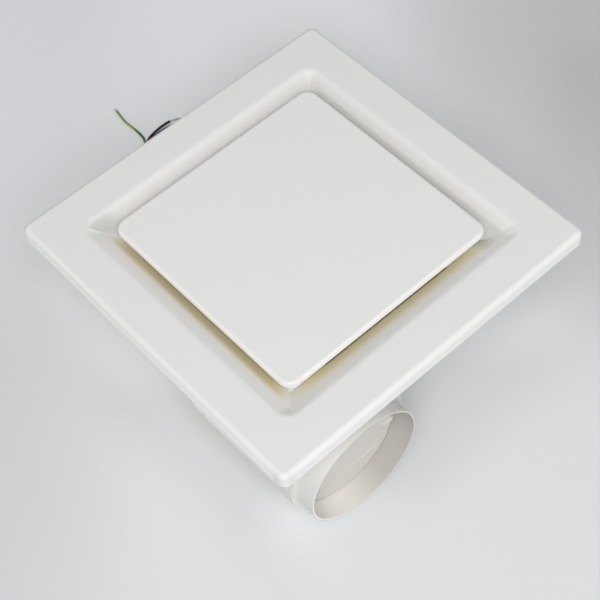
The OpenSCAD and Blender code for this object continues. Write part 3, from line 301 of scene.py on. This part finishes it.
# a shader group that gives a colour, a roughness and a height for the bump
def skinGroup(name, inputs):
    tree = bpy.data.node_groups.new(name, "ShaderNodeTree")
    for label, kind, value in inputs:
        tree.interface.new_socket(name=label, in_out="INPUT", socket_type=kind).default_value = value
    for label, kind in (("Colour", "NodeSocketColor"), ("Roughness", "NodeSocketFloat"),
                        ("Height", "NodeSocketFloat")):
        tree.interface.new_socket(name=label, in_out="OUTPUT", socket_type=kind)
    return tree, tree.nodes.new("NodeGroupInput"), tree.nodes.new("NodeGroupOutput")


# noises are given as scale, detail and roughness
mouldSettings = {
    "slow": (9.0, 3.0),
    "flow": (45.0, 4.0, 0.6),
    "peel": (260.0, 1.0),
    "flowGloss": 0.12,
    "grainShare": 0.35,                  # of the bump, beside the peel
    "bumpDepth": 0.0001,
    "ior": 1.43,
}
metalSettings = {
    "streak": (1.0, 3.0),
    "stain": (120.0, 4.0, 0.6),
    "stainColour": (0.18, 0.17, 0.16, 1),
    "streakGloss": 0.3,
    "bumpDepth": 0.00005,
}

# moulded plastic: a slow drift of colour, faint flow marks, and fine grain for the bump
mouldSkin, gIn, gOut = skinGroup("mouldSkin", [
    ("Colour", "NodeSocketColor", (0.8, 0.8, 0.8, 1)),
    ("Drift", "NodeSocketFloat", 0.03),
    ("Gloss", "NodeSocketFloat", 0.35),
    ("Grain scale", "NodeSocketFloat", 900.0),
])
coords = ownPoint(mouldSkin)
slow = noiseAt(mouldSkin, coords, *mouldSettings["slow"])
flow = noiseAt(mouldSkin, coords, *mouldSettings["flow"])
peel = noiseAt(mouldSkin, coords, *mouldSettings["peel"])
grain = noiseAt(mouldSkin, coords, gIn.outputs["Grain scale"])
shade = mouldSkin.nodes.new("ShaderNodeHueSaturation")
drift = swing(mouldSkin, slow, gIn.outputs["Drift"])
mouldSkin.links.new(addMath(mouldSkin, "ADD", drift, 1.0), shade.inputs["Value"])
mouldSkin.links.new(gIn.outputs["Colour"], shade.inputs["Color"])
mouldSkin.links.new(shade.outputs[0], gOut.inputs["Colour"])
gloss = addMath(mouldSkin, "ADD", swing(mouldSkin, flow, mouldSettings["flowGloss"]),
                gIn.outputs["Gloss"], clamp=True)
mouldSkin.links.new(gloss, gOut.inputs["Roughness"])
height = addMath(mouldSkin, "ADD", times(mouldSkin, grain, mouldSettings["grainShare"]), peel)
mouldSkin.links.new(height, gOut.inputs["Height"])

# bare metal: streaks along one axis, faint stains
metalSkin, gIn, gOut = skinGroup("metalSkin", [
    ("Colour", "NodeSocketColor", (0.6, 0.6, 0.6, 1)),
    ("Stain", "NodeSocketFloat", 0.2),
    ("Gloss", "NodeSocketFloat", 0.3),
    ("Streak", "NodeSocketVector", (600.0, 600.0, 40.0)),
])
coords = ownPoint(metalSkin)
stretch = metalSkin.nodes.new("ShaderNodeVectorMath")
stretch.operation = "MULTIPLY"
metalSkin.links.new(coords, stretch.inputs[0])
metalSkin.links.new(gIn.outputs["Streak"], stretch.inputs[1])
streak = noiseAt(metalSkin, stretch.outputs[0], *metalSettings["streak"])
stain = times(metalSkin, noiseAt(metalSkin, coords, *metalSettings["stain"]), gIn.outputs["Stain"])
metalSkin.links.new(mixColour(metalSkin, stain, gIn.outputs["Colour"], metalSettings["stainColour"]),
                    gOut.inputs["Colour"])
gloss = addMath(metalSkin, "ADD", swing(metalSkin, streak, metalSettings["streakGloss"]),
                gIn.outputs["Gloss"], clamp=True)
metalSkin.links.new(gloss, gOut.inputs["Roughness"])
metalSkin.links.new(streak, gOut.inputs["Height"])


def newMaterial(name):
    mat = bpy.data.materials.new(name)
    mat.use_nodes = True
    return mat, mat.node_tree, mat.node_tree.nodes["Principled BSDF"]


# a skin group with these values, joined to the colour and the roughness of the material
def wearSkin(tree, bsdf, group, values):
    skin = tree.nodes.new("ShaderNodeGroup")
    skin.node_tree = group
    for label, value in values.items():
        skin.inputs[label].default_value = value
    tree.links.new(skin.outputs["Colour"], bsdf.inputs["Base Color"])
    tree.links.new(skin.outputs["Roughness"], bsdf.inputs["Roughness"])
    return skin


def bumpFrom(tree, bsdf, height, strength, depth):
    bump = tree.nodes.new("ShaderNodeBump")
    bump.inputs["Strength"].default_value = strength
    bump.inputs["Distance"].default_value = depth
    tree.links.new(height, bump.inputs["Height"])
    tree.links.new(bump.outputs[0], bsdf.inputs["Normal"])


# a smooth step that is 0 at the start of the span and 1 at its end, whichever of them is higher
def smoothRamp(tree, value, span):
    ramp = tree.nodes.new("ShaderNodeMapRange")
    ramp.interpolation_type = "SMOOTHSTEP"
    ramp.inputs["From Min"].default_value, ramp.inputs["From Max"].default_value = span
    tree.links.new(value, ramp.inputs["Value"])
    return ramp.outputs[0]


def minus(tree, value):
    return times(tree, value, -1.0)


# how far a point lies from another one, measured along two axes
def distanceFrom(tree, first, second, point):
    a = addMath(tree, "POWER", addMath(tree, "SUBTRACT", first, point[0]), 2.0)
    b = addMath(tree, "POWER", addMath(tree, "SUBTRACT", second, point[1]), 2.0)
    return addMath(tree, "SQRT", addMath(tree, "ADD", a, b))


# the larger of a point's distances from the middle of the face along X and along Y
def squareReach(tree, axes):
    return addMath(tree, "MAXIMUM", addMath(tree, "ABSOLUTE", axes[0]), addMath(tree, "ABSOLUTE", axes[1]))


# a step across the fold from the left corner to the right one, growing towards the viewer
def foldRamp(tree, axes, span):
    return smoothRamp(tree, addMath(tree, "SUBTRACT", axes[0], axes[1]), span)


# each pair says where a tint of painted light and shade starts and where it is full, in metres in the frame
# of the part
faceSettings = {
    "sideFade": (-0.002, 0.022),         # beyond the face's diagonals
    "cornerFade": 0.012,
    "cornerDrop": 0.0008,
}
fasciaSettings = {
    "recessReach": 0.1145,               # the rolled edge of the recess starts here
    "recess": (0.1505, 0.146),           # heights
    "litNearRecess": (0.1499, 0.1483),
    "bounceLitRecess": (0.1465, 0.1395),
    "shadedDeepRecess": (0.1445, 0.1405),
    "nearHalf": (-0.004, 0.004),         # across the fold
    "corner": {"reach": 0.286, "top": 0.1499},
    "litFarEdge": (0.1425, 0.1443),
    "litLeftWall": {"out": (0.1425, 0.144), "height": (0.148, 0.1435)},
    "leftCornerShade": {"at": (-0.1, -0.1), "reach": (0.021, 0.003), "fold": (0.0, -0.0005),
                   "height": (0.1505, 0.148)},
    "rightHollow": {"out": (0.08, 0.098), "along": (-0.103, -0.09), "height": (0.1458, 0.1438)},
    "rightCorner": {"at": (0.112, 0.112), "reach": (0.03, 0.014), "fold": (0.0, 0.0005),
                    "height": (0.1499, 0.1475)},
}
panelSettings = {
    "corner": {"reach": 0.19, "top": 0.1512},
    "litFarEdge": (0.0945, 0.0965),
    "edge": (0.1495, 0.1468),            # heights
}
housingSettings = {
    "tray": (0.113, 0.112),
}
ductSettings = {
    "axisY": -0.0705,
    "axisZ": 0.068,
    "upper": (0.08, 0.11),               # heights
    "bore": (0.0496, 0.0488),            # distances from the axis
    "dark": (-0.035, 0.03),              # along Y from the axis
}


# the side of the face next to the viewer on the right or on the left, fading out towards its corners
def nearSide(tree, onRight):
    axes = ownAxes(tree)
    out = axes[0] if onRight else minus(tree, axes[1])
    across = addMath(tree, "ABSOLUTE", axes[1] if onRight else axes[0])
    return smoothRamp(tree, addMath(tree, "SUBTRACT", out, across), faceSettings["sideFade"])


def nearSides(tree):
    return addMath(tree, "MAXIMUM", nearSide(tree, True), nearSide(tree, False))


# how deep a point lies in the recess, inside the square that its rolled edge starts from
def recessDepth(tree, heights):
    axes = ownAxes(tree)
    inside = addMath(tree, "LESS_THAN", squareReach(tree, axes), fasciaSettings["recessReach"])
    return times(tree, smoothRamp(tree, axes[2], heights), inside)


# painted shade: the whole recess darker than the face, as shade falls in it
def shadedRecessMask(tree):
    return recessDepth(tree, fasciaSettings["recess"])


# painted light: the half of the recess next to the viewer, corners too, made paler
def litNearRecessMask(tree):
    return times(tree, recessDepth(tree, fasciaSettings["litNearRecess"]),
                 foldRamp(tree, ownAxes(tree), fasciaSettings["nearHalf"]))


# painted bounce light: the deep recess on the two near sides, paler and warm where light bounces under the
# panel
def bounceLitRecessMask(tree):
    return times(tree, recessDepth(tree, fasciaSettings["bounceLitRecess"]), nearSides(tree))


# painted shade: the deep part on the left is darker and browner than the one on the right
def shadedDeepRecessMask(tree):
    return times(tree, recessDepth(tree, fasciaSettings["shadedDeepRecess"]), nearSide(tree, False))


# the rolled corner next to the viewer, of a square with this diagonal reach and top
def nearCorner(tree, corner):
    axes = ownAxes(tree)
    reach, top = corner["reach"], corner["top"]
    return times(tree, foldRamp(tree, axes, (reach - faceSettings["cornerFade"], reach)),
                 smoothRamp(tree, axes[2], (top, top - faceSettings["cornerDrop"])))


# painted shade: the fascia's rolled corner next to the viewer darkened, to dim its highlight
def shadedFasciaCornerMask(tree):
    return nearCorner(tree, fasciaSettings["corner"])


# painted shade: the panel's rolled corner next to the viewer darkened, to dim its highlight
def shadedPanelCornerMask(tree):
    return nearCorner(tree, panelSettings["corner"])


# painted light: the fascia's rolled outer edge on the two sides away from the viewer, made paler
def litFarEdgeMask(tree):
    axes = ownAxes(tree)
    return smoothRamp(tree, addMath(tree, "MAXIMUM", minus(tree, axes[0]), axes[1]),
                      fasciaSettings["litFarEdge"])


# painted light: the panel's rolled edge on the upper left side, away from the viewer, made paler
def litPanelFarMask(tree):
    return smoothRamp(tree, minus(tree, ownAxes(tree)[0]), panelSettings["litFarEdge"])


# the foot of the slope on the upper right side, in the panel's shade
def rightHollowMask(tree):
    hollow = fasciaSettings["rightHollow"]
    axes = ownAxes(tree)
    return times(tree, recessDepth(tree, hollow["height"]), smoothRamp(tree, axes[1], hollow["out"]),
                 smoothRamp(tree, axes[0], hollow["along"]))


# the recess near one of its corners, on one side of the fold
def besideCorner(tree, corner):
    axes = ownAxes(tree)
    away = distanceFrom(tree, axes[0], axes[1], corner["at"])
    return times(tree, recessDepth(tree, corner["height"]), smoothRamp(tree, away, corner["reach"]),
                 foldRamp(tree, axes, corner["fold"]))


# the near slope by the right corner, where the real one is rounded and catches more light
def rightCornerMask(tree):
    return besideCorner(tree, fasciaSettings["rightCorner"])


# painted shade: the far slope by the left corner, darkened until it meets the near slope without an edge
def leftCornerShadeMask(tree):
    return besideCorner(tree, fasciaSettings["leftCornerShade"])


# painted light: the fascia's side wall on the left, made paler
def litLeftWallMask(tree):
    wall = fasciaSettings["litLeftWall"]
    axes = ownAxes(tree)
    return times(tree, smoothRamp(tree, minus(tree, axes[1]), wall["out"]),
                 smoothRamp(tree, axes[2], wall["height"]))


# painted bounce light: the panel's edge and underside, made paler and warmer
def bounceLitPanelEdgeMask(tree):
    return smoothRamp(tree, ownAxes(tree)[2], panelSettings["edge"])


# painted warm bounce light on the panel's edge and underside along its two near sides
def bounceLitNearPanelMask(tree):
    return times(tree, bounceLitPanelEdgeMask(tree), nearSides(tree))


# painted light: the upper side of the spigot, paler than its lower side
def litUpperMask(tree):
    return smoothRamp(tree, ownAxes(tree)[2], ductSettings["upper"])


# painted light: the tray, seen through the recess, made paler and warmer
def litTrayMask(tree):
    return smoothRamp(tree, squareReach(tree, ownAxes(tree)), housingSettings["tray"])


# the inside of the spigot
def boreMask(tree):
    axes = ownAxes(tree)
    out = distanceFrom(tree, axes[1], axes[2], (ductSettings["axisY"], ductSettings["axisZ"]))
    return smoothRamp(tree, out, ductSettings["bore"])


# the darker half of the bore, away from the key light
def darkBoreMask(tree):
    span = [ductSettings["axisY"] + v for v in ductSettings["dark"]]
    return times(tree, boreMask(tree), smoothRamp(tree, ownAxes(tree)[1], span))


# tints is a list of (maskMaker, colour), each laid over the ones before it
def mouldedPlastic(name, colour, gloss, drift=0.03, grainScale=900.0, bump=0.15, tints=()):
    mat, tree, bsdf = newMaterial(name)
    skin = wearSkin(tree, bsdf, mouldSkin, {"Colour": (*colour, 1), "Drift": drift, "Gloss": gloss,
                                            "Grain scale": grainScale})
    shade = (*colour, 1)
    for maskMaker, tint in tints:
        shade = mixColour(tree, maskMaker(tree), shade, (*tint, 1))
    if tints:
        tree.links.new(shade, skin.inputs["Colour"])
    bumpFrom(tree, bsdf, skin.outputs["Height"], bump, mouldSettings["bumpDepth"])
    bsdf.inputs["IOR"].default_value = mouldSettings["ior"]
    return mat


def bareMetal(name, colour, gloss, stain, streak=(600.0, 600.0, 40.0), bump=0.1):
    mat, tree, bsdf = newMaterial(name)
    skin = wearSkin(tree, bsdf, metalSkin, {"Colour": (*colour, 1), "Stain": stain, "Gloss": gloss,
                                            "Streak": streak})
    bsdf.inputs["Metallic"].default_value = 1.0
    bumpFrom(tree, bsdf, skin.outputs["Height"], bump, metalSettings["bumpDepth"])
    return mat


plastics = {
    "fasciaWhite": {"colour": (0.85, 0.852, 0.84), "gloss": 0.55, "drift": 0.02, "bump": 0.1, "tints": [
        (litLeftWallMask, (0.97, 0.97, 0.955)),
        (litFarEdgeMask, (0.99, 0.99, 0.985)),
        (shadedFasciaCornerMask, (0.76, 0.762, 0.75)),
        (shadedRecessMask, (0.755, 0.75, 0.732)),
        (litNearRecessMask, (0.985, 0.98, 0.96)),
        (bounceLitRecessMask, (1.0, 0.915, 0.65)),
        (shadedDeepRecessMask, (0.76, 0.66, 0.44)),
        (leftCornerShadeMask, (0.54, 0.54, 0.52)),
        (rightHollowMask, (0.62, 0.62, 0.6)),
        (rightCornerMask, (1.0, 0.995, 0.965)),
    ]},
    "panelWhite": {"colour": (0.872, 0.874, 0.866), "gloss": 0.5, "drift": 0.015, "bump": 0.08, "tints": [
        (shadedPanelCornerMask, (0.74, 0.742, 0.735)),
        (litPanelFarMask, (0.99, 0.99, 0.985)),
        (bounceLitPanelEdgeMask, (0.92, 0.915, 0.89)),
        (bounceLitNearPanelMask, (1.0, 0.925, 0.68)),
    ]},
    "housingWhite": {"colour": (0.82, 0.80, 0.76), "gloss": 0.42, "drift": 0.05, "bump": 0.2, "tints": [
        (litTrayMask, (0.93, 0.90, 0.83)),
    ]},
    # painted shade: the spigot's outside is darker than its white plastic, less so on its upper side
    "spigotWhite": {"colour": (0.73, 0.725, 0.71), "gloss": 0.36, "bump": 0.12, "tints": [
        (litUpperMask, (0.76, 0.755, 0.735)),
        # painted bounce light: the inside of the spigot paler and warmer
        (boreMask, (0.96, 0.93, 0.87)),
        (darkBoreMask, (0.46, 0.435, 0.405)),
    ]},
    # painted shade: the flap is darker and warmer than white plastic, for the shade deep in the spigot
    "shadedFlapWhite": {"colour": (0.66, 0.64, 0.605), "gloss": 0.42},
    "impellerIvory": {"colour": (0.62, 0.60, 0.53), "gloss": 0.45, "drift": 0.05},
    "terminalIvory": {"colour": (0.68, 0.67, 0.58), "gloss": 0.4},
    "capacitorBlack": {"colour": (0.028, 0.028, 0.03), "gloss": 0.35, "drift": 0.2},
    "glandBlack": {"colour": (0.025, 0.025, 0.027), "gloss": 0.45, "drift": 0.2, "bump": 0.25},
    "softRubber": {"colour": (0.02, 0.02, 0.021), "gloss": 0.65, "drift": 0.3, "grainScale": 1600.0,
                   "bump": 0.3},
    "sheathWhite": {"colour": (0.86, 0.855, 0.83), "gloss": 0.45, "drift": 0.04, "grainScale": 1400.0,
                    "bump": 0.2},
    "coreBrown": {"colour": (0.045, 0.022, 0.022), "gloss": 0.35, "drift": 0.2, "grainScale": 2500.0},
    "coreBlue": {"colour": (0.06, 0.115, 0.22), "gloss": 0.35, "drift": 0.15, "grainScale": 2500.0},
}
metals = {
    "zincSteel": {"colour": (0.62, 0.63, 0.64), "gloss": 0.32, "stain": 0.15},
    "pressedSteel": {"colour": (0.52, 0.53, 0.54), "gloss": 0.38, "stain": 0.25, "streak": (90.0,) * 3},
    "springWire": {"colour": (0.42, 0.43, 0.45), "gloss": 0.3, "stain": 0.3, "streak": (900.0,) * 3},
    "tinnedStrands": {"colour": (0.62, 0.58, 0.53), "gloss": 0.35, "stain": 0.35, "streak": (1500.0,) * 3},
    "sinteredBronze": {"colour": (0.5, 0.33, 0.16), "gloss": 0.5, "stain": 0.3, "streak": (2500.0,) * 3,
                       "bump": 0.3},
}
finishes = {name: mouldedPlastic(name, **settings) for name, settings in plastics.items()}
finishes.update({name: bareMetal(name, **settings) for name, settings in metals.items()})

# the earth core has one band of yellow along its green, which winds half way round
earthSettings = {
    "green": (0.05, 0.16, 0.075, 1),
    "yellow": (0.52, 0.53, 0.14, 1),
    "bandAt": 0.3,                       # in turns round the core, as are the next two
    "halfWidth": 0.18,
    "winding": 0.48,
    "windsAlong": (0.02, 0.036),         # metres along the core
    "drift": 0.1,
    "gloss": 0.36,
    "grainScale": 2500.0,
    "bump": 0.1,
    "bumpDepth": 0.00005,
}
mat, tree, bsdf = newMaterial("coreGreenYellow")
uv = tree.nodes.new("ShaderNodeUVMap")
uv.uv_map = "alongCord"
onCord = splitAxes(tree, uv.outputs[0])
wound = times(tree, smoothRamp(tree, onCord[1], earthSettings["windsAlong"]), earthSettings["winding"])
around = addMath(tree, "SUBTRACT", addMath(tree, "SUBTRACT", onCord[0], earthSettings["bandAt"]), wound)
# shifted by half a turn, and by a whole one that keeps it above zero
wrapped = addMath(tree, "FRACT", addMath(tree, "ADD", around, 1.5))
offBand = addMath(tree, "ABSOLUTE", addMath(tree, "SUBTRACT", wrapped, 0.5))
band = addMath(tree, "LESS_THAN", offBand, earthSettings["halfWidth"])
skin = wearSkin(tree, bsdf, mouldSkin, {"Drift": earthSettings["drift"], "Gloss": earthSettings["gloss"],
                                        "Grain scale": earthSettings["grainScale"]})
tree.links.new(mixColour(tree, band, earthSettings["green"], earthSettings["yellow"]), skin.inputs["Colour"])
bumpFrom(tree, bsdf, skin.outputs["Height"], earthSettings["bump"], earthSettings["bumpDepth"])
finishes["coreGreenYellow"] = mat

# a wave texture runs through 20 radians in a metre at scale 1, so the lines lie 2 pi pitches apart
layerSettings = {
    "radiansPerMetre": 20,
    "waver": 0.6,
    "stain": 0.2,
    "streak": (200.0, 200.0, 200.0),
    "bump": 0.4,
    "bumpDepth": 0.0002,
}
layered = {
    "stackedSteel": {"colour": (0.2, 0.2, 0.21), "lineColour": (0.07, 0.07, 0.075), "pitch": 0.0005,
                     "metallic": 0.8, "gloss": 0.45},
    "woundCopper": {"colour": (0.5, 0.19, 0.07), "lineColour": (0.2, 0.06, 0.02), "pitch": 0.0006,
                    "metallic": 0.9, "gloss": 0.35},
}


# thin layers or turns of wire, as fine lines across Z
def layeredMetal(name, colour, lineColour, pitch, metallic, gloss):
    mat, tree, bsdf = newMaterial(name)
    wave = tree.nodes.new("ShaderNodeTexWave")
    wave.wave_type = "BANDS"
    wave.bands_direction = "Z"
    tree.links.new(ownPoint(tree), wave.inputs["Vector"])
    wave.inputs["Scale"].default_value = 1 / pitch / layerSettings["radiansPerMetre"]
    wave.inputs["Distortion"].default_value = layerSettings["waver"]
    skin = wearSkin(tree, bsdf, metalSkin, {"Stain": layerSettings["stain"], "Gloss": gloss,
                                            "Streak": layerSettings["streak"]})
    tree.links.new(mixColour(tree, wave.outputs["Fac"], (*lineColour, 1), (*colour, 1)),
                   skin.inputs["Colour"])
    bsdf.inputs["Metallic"].default_value = metallic
    bumpFrom(tree, bsdf, wave.outputs["Fac"], layerSettings["bump"], layerSettings["bumpDepth"])
    return mat


finishes.update({name: layeredMetal(name, **settings) for name, settings in layered.items()})

finishOf = {
    "fasciaWhite": ["fascia_frame"],
    "panelWhite": ["centre_panel"],
    "housingWhite": ["housing_shell", "inlet_ring", "wiring_cover"],
    "spigotWhite": ["duct_spigot"],
    "shadedFlapWhite": ["backdraft_flap"],
    "impellerIvory": ["impeller"],
    "terminalIvory": ["terminal_block"],
    "capacitorBlack": ["run_capacitor"],
    "glandBlack": ["strain_relief", "lead_grommets"],
    "softRubber": ["spigot_seal", "motor_grommets", "motor_lead"],
    "coreBrown": ["supply_leads"],
    "zincSteel": ["inlet_ring_screws", "spigot_screws", "motor_through_screws", "motor_mount_screws",
                  "terminal_screws", "wiring_cover_screws", "impeller_washer", "impeller_nut", "motor_shaft"],
    "pressedSteel": ["motor_lower_shield", "motor_upper_shield"],
    "springWire": ["left_spring_coil", "right_spring_coil", "left_spring_leg_front", "left_spring_leg_rear",
                   "right_spring_leg_front", "right_spring_leg_rear"],
    "sinteredBronze": ["lower_bearing", "upper_bearing"],
    "stackedSteel": ["stator_core", "motor_rotor"],
    "woundCopper": ["stator_winding"],
}
for finish, names in finishOf.items():
    for name in names:
        ob = bpy.data.objects[name]
        for slot in ob.material_slots:
            slot.material = finishes[finish]
        if not ob.material_slots:
            ob.data.materials.append(finishes[finish])
sheath.data.materials.append(finishes["sheathWhite"])
for wire, finish in (("live", "coreBrown"), ("neutral", "coreBlue"), ("earth", "coreGreenYellow")):
    cores[wire].data.materials.append(finishes[finish])
    tips[wire].data.materials.append(finishes["tinnedStrands"])
print("finishes set")


# the table, with painted light and shade placed by how far a point lies to the right of and behind the
# object's middle
tableSettings = {
    "size": 14.0,
    "roughness": 0.85,
    "specular": 0.1,
    "rightward": (0.67, 0.74),
    "backward": (-0.74, 0.67),
    "cloudScale": 3.0,
    "cloudShift": 0.12,                  # metres that the clouds move the shades' edges by
    "plain": (0.79, 0.805, 0.828, 1),
    # painted light: paler behind the object
    "far": (0.94, 0.955, 0.985, 1),      # behind the object
    "farFrom": (-0.05, 0.26),
    # painted shade: a darker patch behind the object, to the right
    "patch": (0.72, 0.72, 0.74, 1),      # a duller patch behind it, to the right
    "patchAt": (0.02, 0.52),
    "patchReach": (0.42, 0.12),
    # parts with painted shade: by how much they are dimmer, and where that starts and is full
    "left": {"dim": 0.10, "side": (-0.08, -0.24)},
    "right": {"dim": 0.13, "side": (0.04, 0.16), "away": (-0.05, 0.10)},
    "under": {"dim": 0.13, "reach": (0.19, 0.115), "towards": (0.01, -0.06), "butNot": (0.15, -0.105),
              "butReach": (0.035, 0.085)},
    "edge": {"dim": 0.08, "side": (0.17, 0.25), "away": (-0.04, 0.02), "until": (0.34, 0.27)},
    # painted light: the left side close to the object is paler
    "pale": {"lift": 0.44, "inwards": 0.15, "reach": (0.145, 0.105), "side": (0.06, -0.05),
             "until": (-0.26, -0.205)},
}


# how far a point lies in a direction across the table
def towards(tree, axes, direction):
    return addMath(tree, "ADD", times(tree, axes[0], direction[0]), times(tree, axes[1], direction[1]))


# a colour blended with an even grey where the mask says so
def toned(tree, colour, mask, kind, grey):
    return mixColour(tree, mask, colour, (grey, grey, grey, 1), kind)


def dimmed(tree, colour, mask, dim):
    return toned(tree, colour, mask, "MULTIPLY", 1 - dim)


deselectAll()
bpy.ops.mesh.primitive_plane_add(size=tableSettings["size"], location=(0, 0, 0))
table = bpy.context.active_object
table.name = "table"
mat, tree, bsdf = newMaterial("paleTable")
axes = ownAxes(tree)
cloud = swing(tree, noiseAt(tree, ownPoint(tree), tableSettings["cloudScale"]), tableSettings["cloudShift"])
toRight = addMath(tree, "ADD", towards(tree, axes, tableSettings["rightward"]), cloud)
toBack = addMath(tree, "ADD", towards(tree, axes, tableSettings["backward"]), cloud)
# painted light: paler behind the object
shade = mixColour(tree, smoothRamp(tree, toBack, tableSettings["farFrom"]), tableSettings["plain"],
                  tableSettings["far"])

# painted shade: a darker patch behind the object, to the right
dull = smoothRamp(tree, distanceFrom(tree, axes[0], axes[1], tableSettings["patchAt"]),
                  tableSettings["patchReach"])
shade = mixColour(tree, dull, shade, tableSettings["patch"])

# painted shade on the left
left = tableSettings["left"]
shade = dimmed(tree, shade, smoothRamp(tree, toRight, left["side"]), left["dim"])

# painted shade to the right, behind the object
right = tableSettings["right"]
rightBack = times(tree, smoothRamp(tree, toRight, right["side"]), smoothRamp(tree, toBack, right["away"]))
shade = dimmed(tree, shade, rightBack, right["dim"])

# painted shade in a band far to the right
edge = tableSettings["edge"]
atEdge = times(tree, smoothRamp(tree, toRight, edge["side"]), smoothRamp(tree, toBack, edge["away"]),
               smoothRamp(tree, toBack, edge["until"]))
shade = dimmed(tree, shade, atEdge, edge["dim"])

# painted light: paler beside the object's left sides
pale = tableSettings["pale"]
outLeft = addMath(tree, "MAXIMUM", addMath(tree, "SUBTRACT", minus(tree, axes[0]), pale["inwards"]),
                  minus(tree, axes[1]))
byLeft = times(tree, smoothRamp(tree, outLeft, pale["reach"]), smoothRamp(tree, toRight, pale["side"]),
               smoothRamp(tree, toRight, pale["until"]))
shade = toned(tree, shade, byLeft, "SCREEN", pale["lift"])

# painted shadow on the table in front of the object, fading out beside the spigot
under = tableSettings["under"]
fromSpigot = distanceFrom(tree, axes[0], axes[1], under["butNot"])
underFront = times(tree, smoothRamp(tree, squareReach(tree, axes), under["reach"]),
                   smoothRamp(tree, toBack, under["towards"]),
                   smoothRamp(tree, fromSpigot, under["butReach"]))
shade = dimmed(tree, shade, underFront, under["dim"])

tree.links.new(shade, bsdf.inputs["Base Color"])
bsdf.inputs["Roughness"].default_value = tableSettings["roughness"]
bsdf.inputs["Specular IOR Level"].default_value = tableSettings["specular"]
table.data.materials.append(mat)

lightSettings = {
    "sky": 0.3,
    "aim": (0, 0, 0.1),
    "lamps": {
        "key": {"place": (1.5, -0.9, 1.3), "size": 1.6, "watts": 13.5, "colour": (1.0, 0.99, 0.975)},
        "front": {"place": (2.4, -1.88, 4.3), "size": 3.0, "watts": 140, "colour": (1.0, 1.0, 1.0)},
    },
}
world = bpy.data.worlds.new("studio")
bpy.context.scene.world = world
world.use_nodes = True
background = world.node_tree.nodes["Background"]
background.inputs["Color"].default_value = (1.0, 1.0, 1.0, 1)
background.inputs["Strength"].default_value = lightSettings["sky"]
for name, lamp in lightSettings["lamps"].items():
    data = bpy.data.lights.new(name, "AREA")
    data.shape = "DISK"
    data.size = lamp["size"]
    data.energy = lamp["watts"]
    data.color = lamp["colour"]
    ob = bpy.data.objects.new(name, data)
    bpy.context.scene.collection.objects.link(ob)
    ob.location = lamp["place"]
    aim = Vector(lightSettings["aim"]) - Vector(lamp["place"])
    ob.rotation_euler = aim.to_track_quat("-Z", "Y").to_euler()
bpy.context.scene.view_settings.view_transform = "Standard"
print("table and lights set")
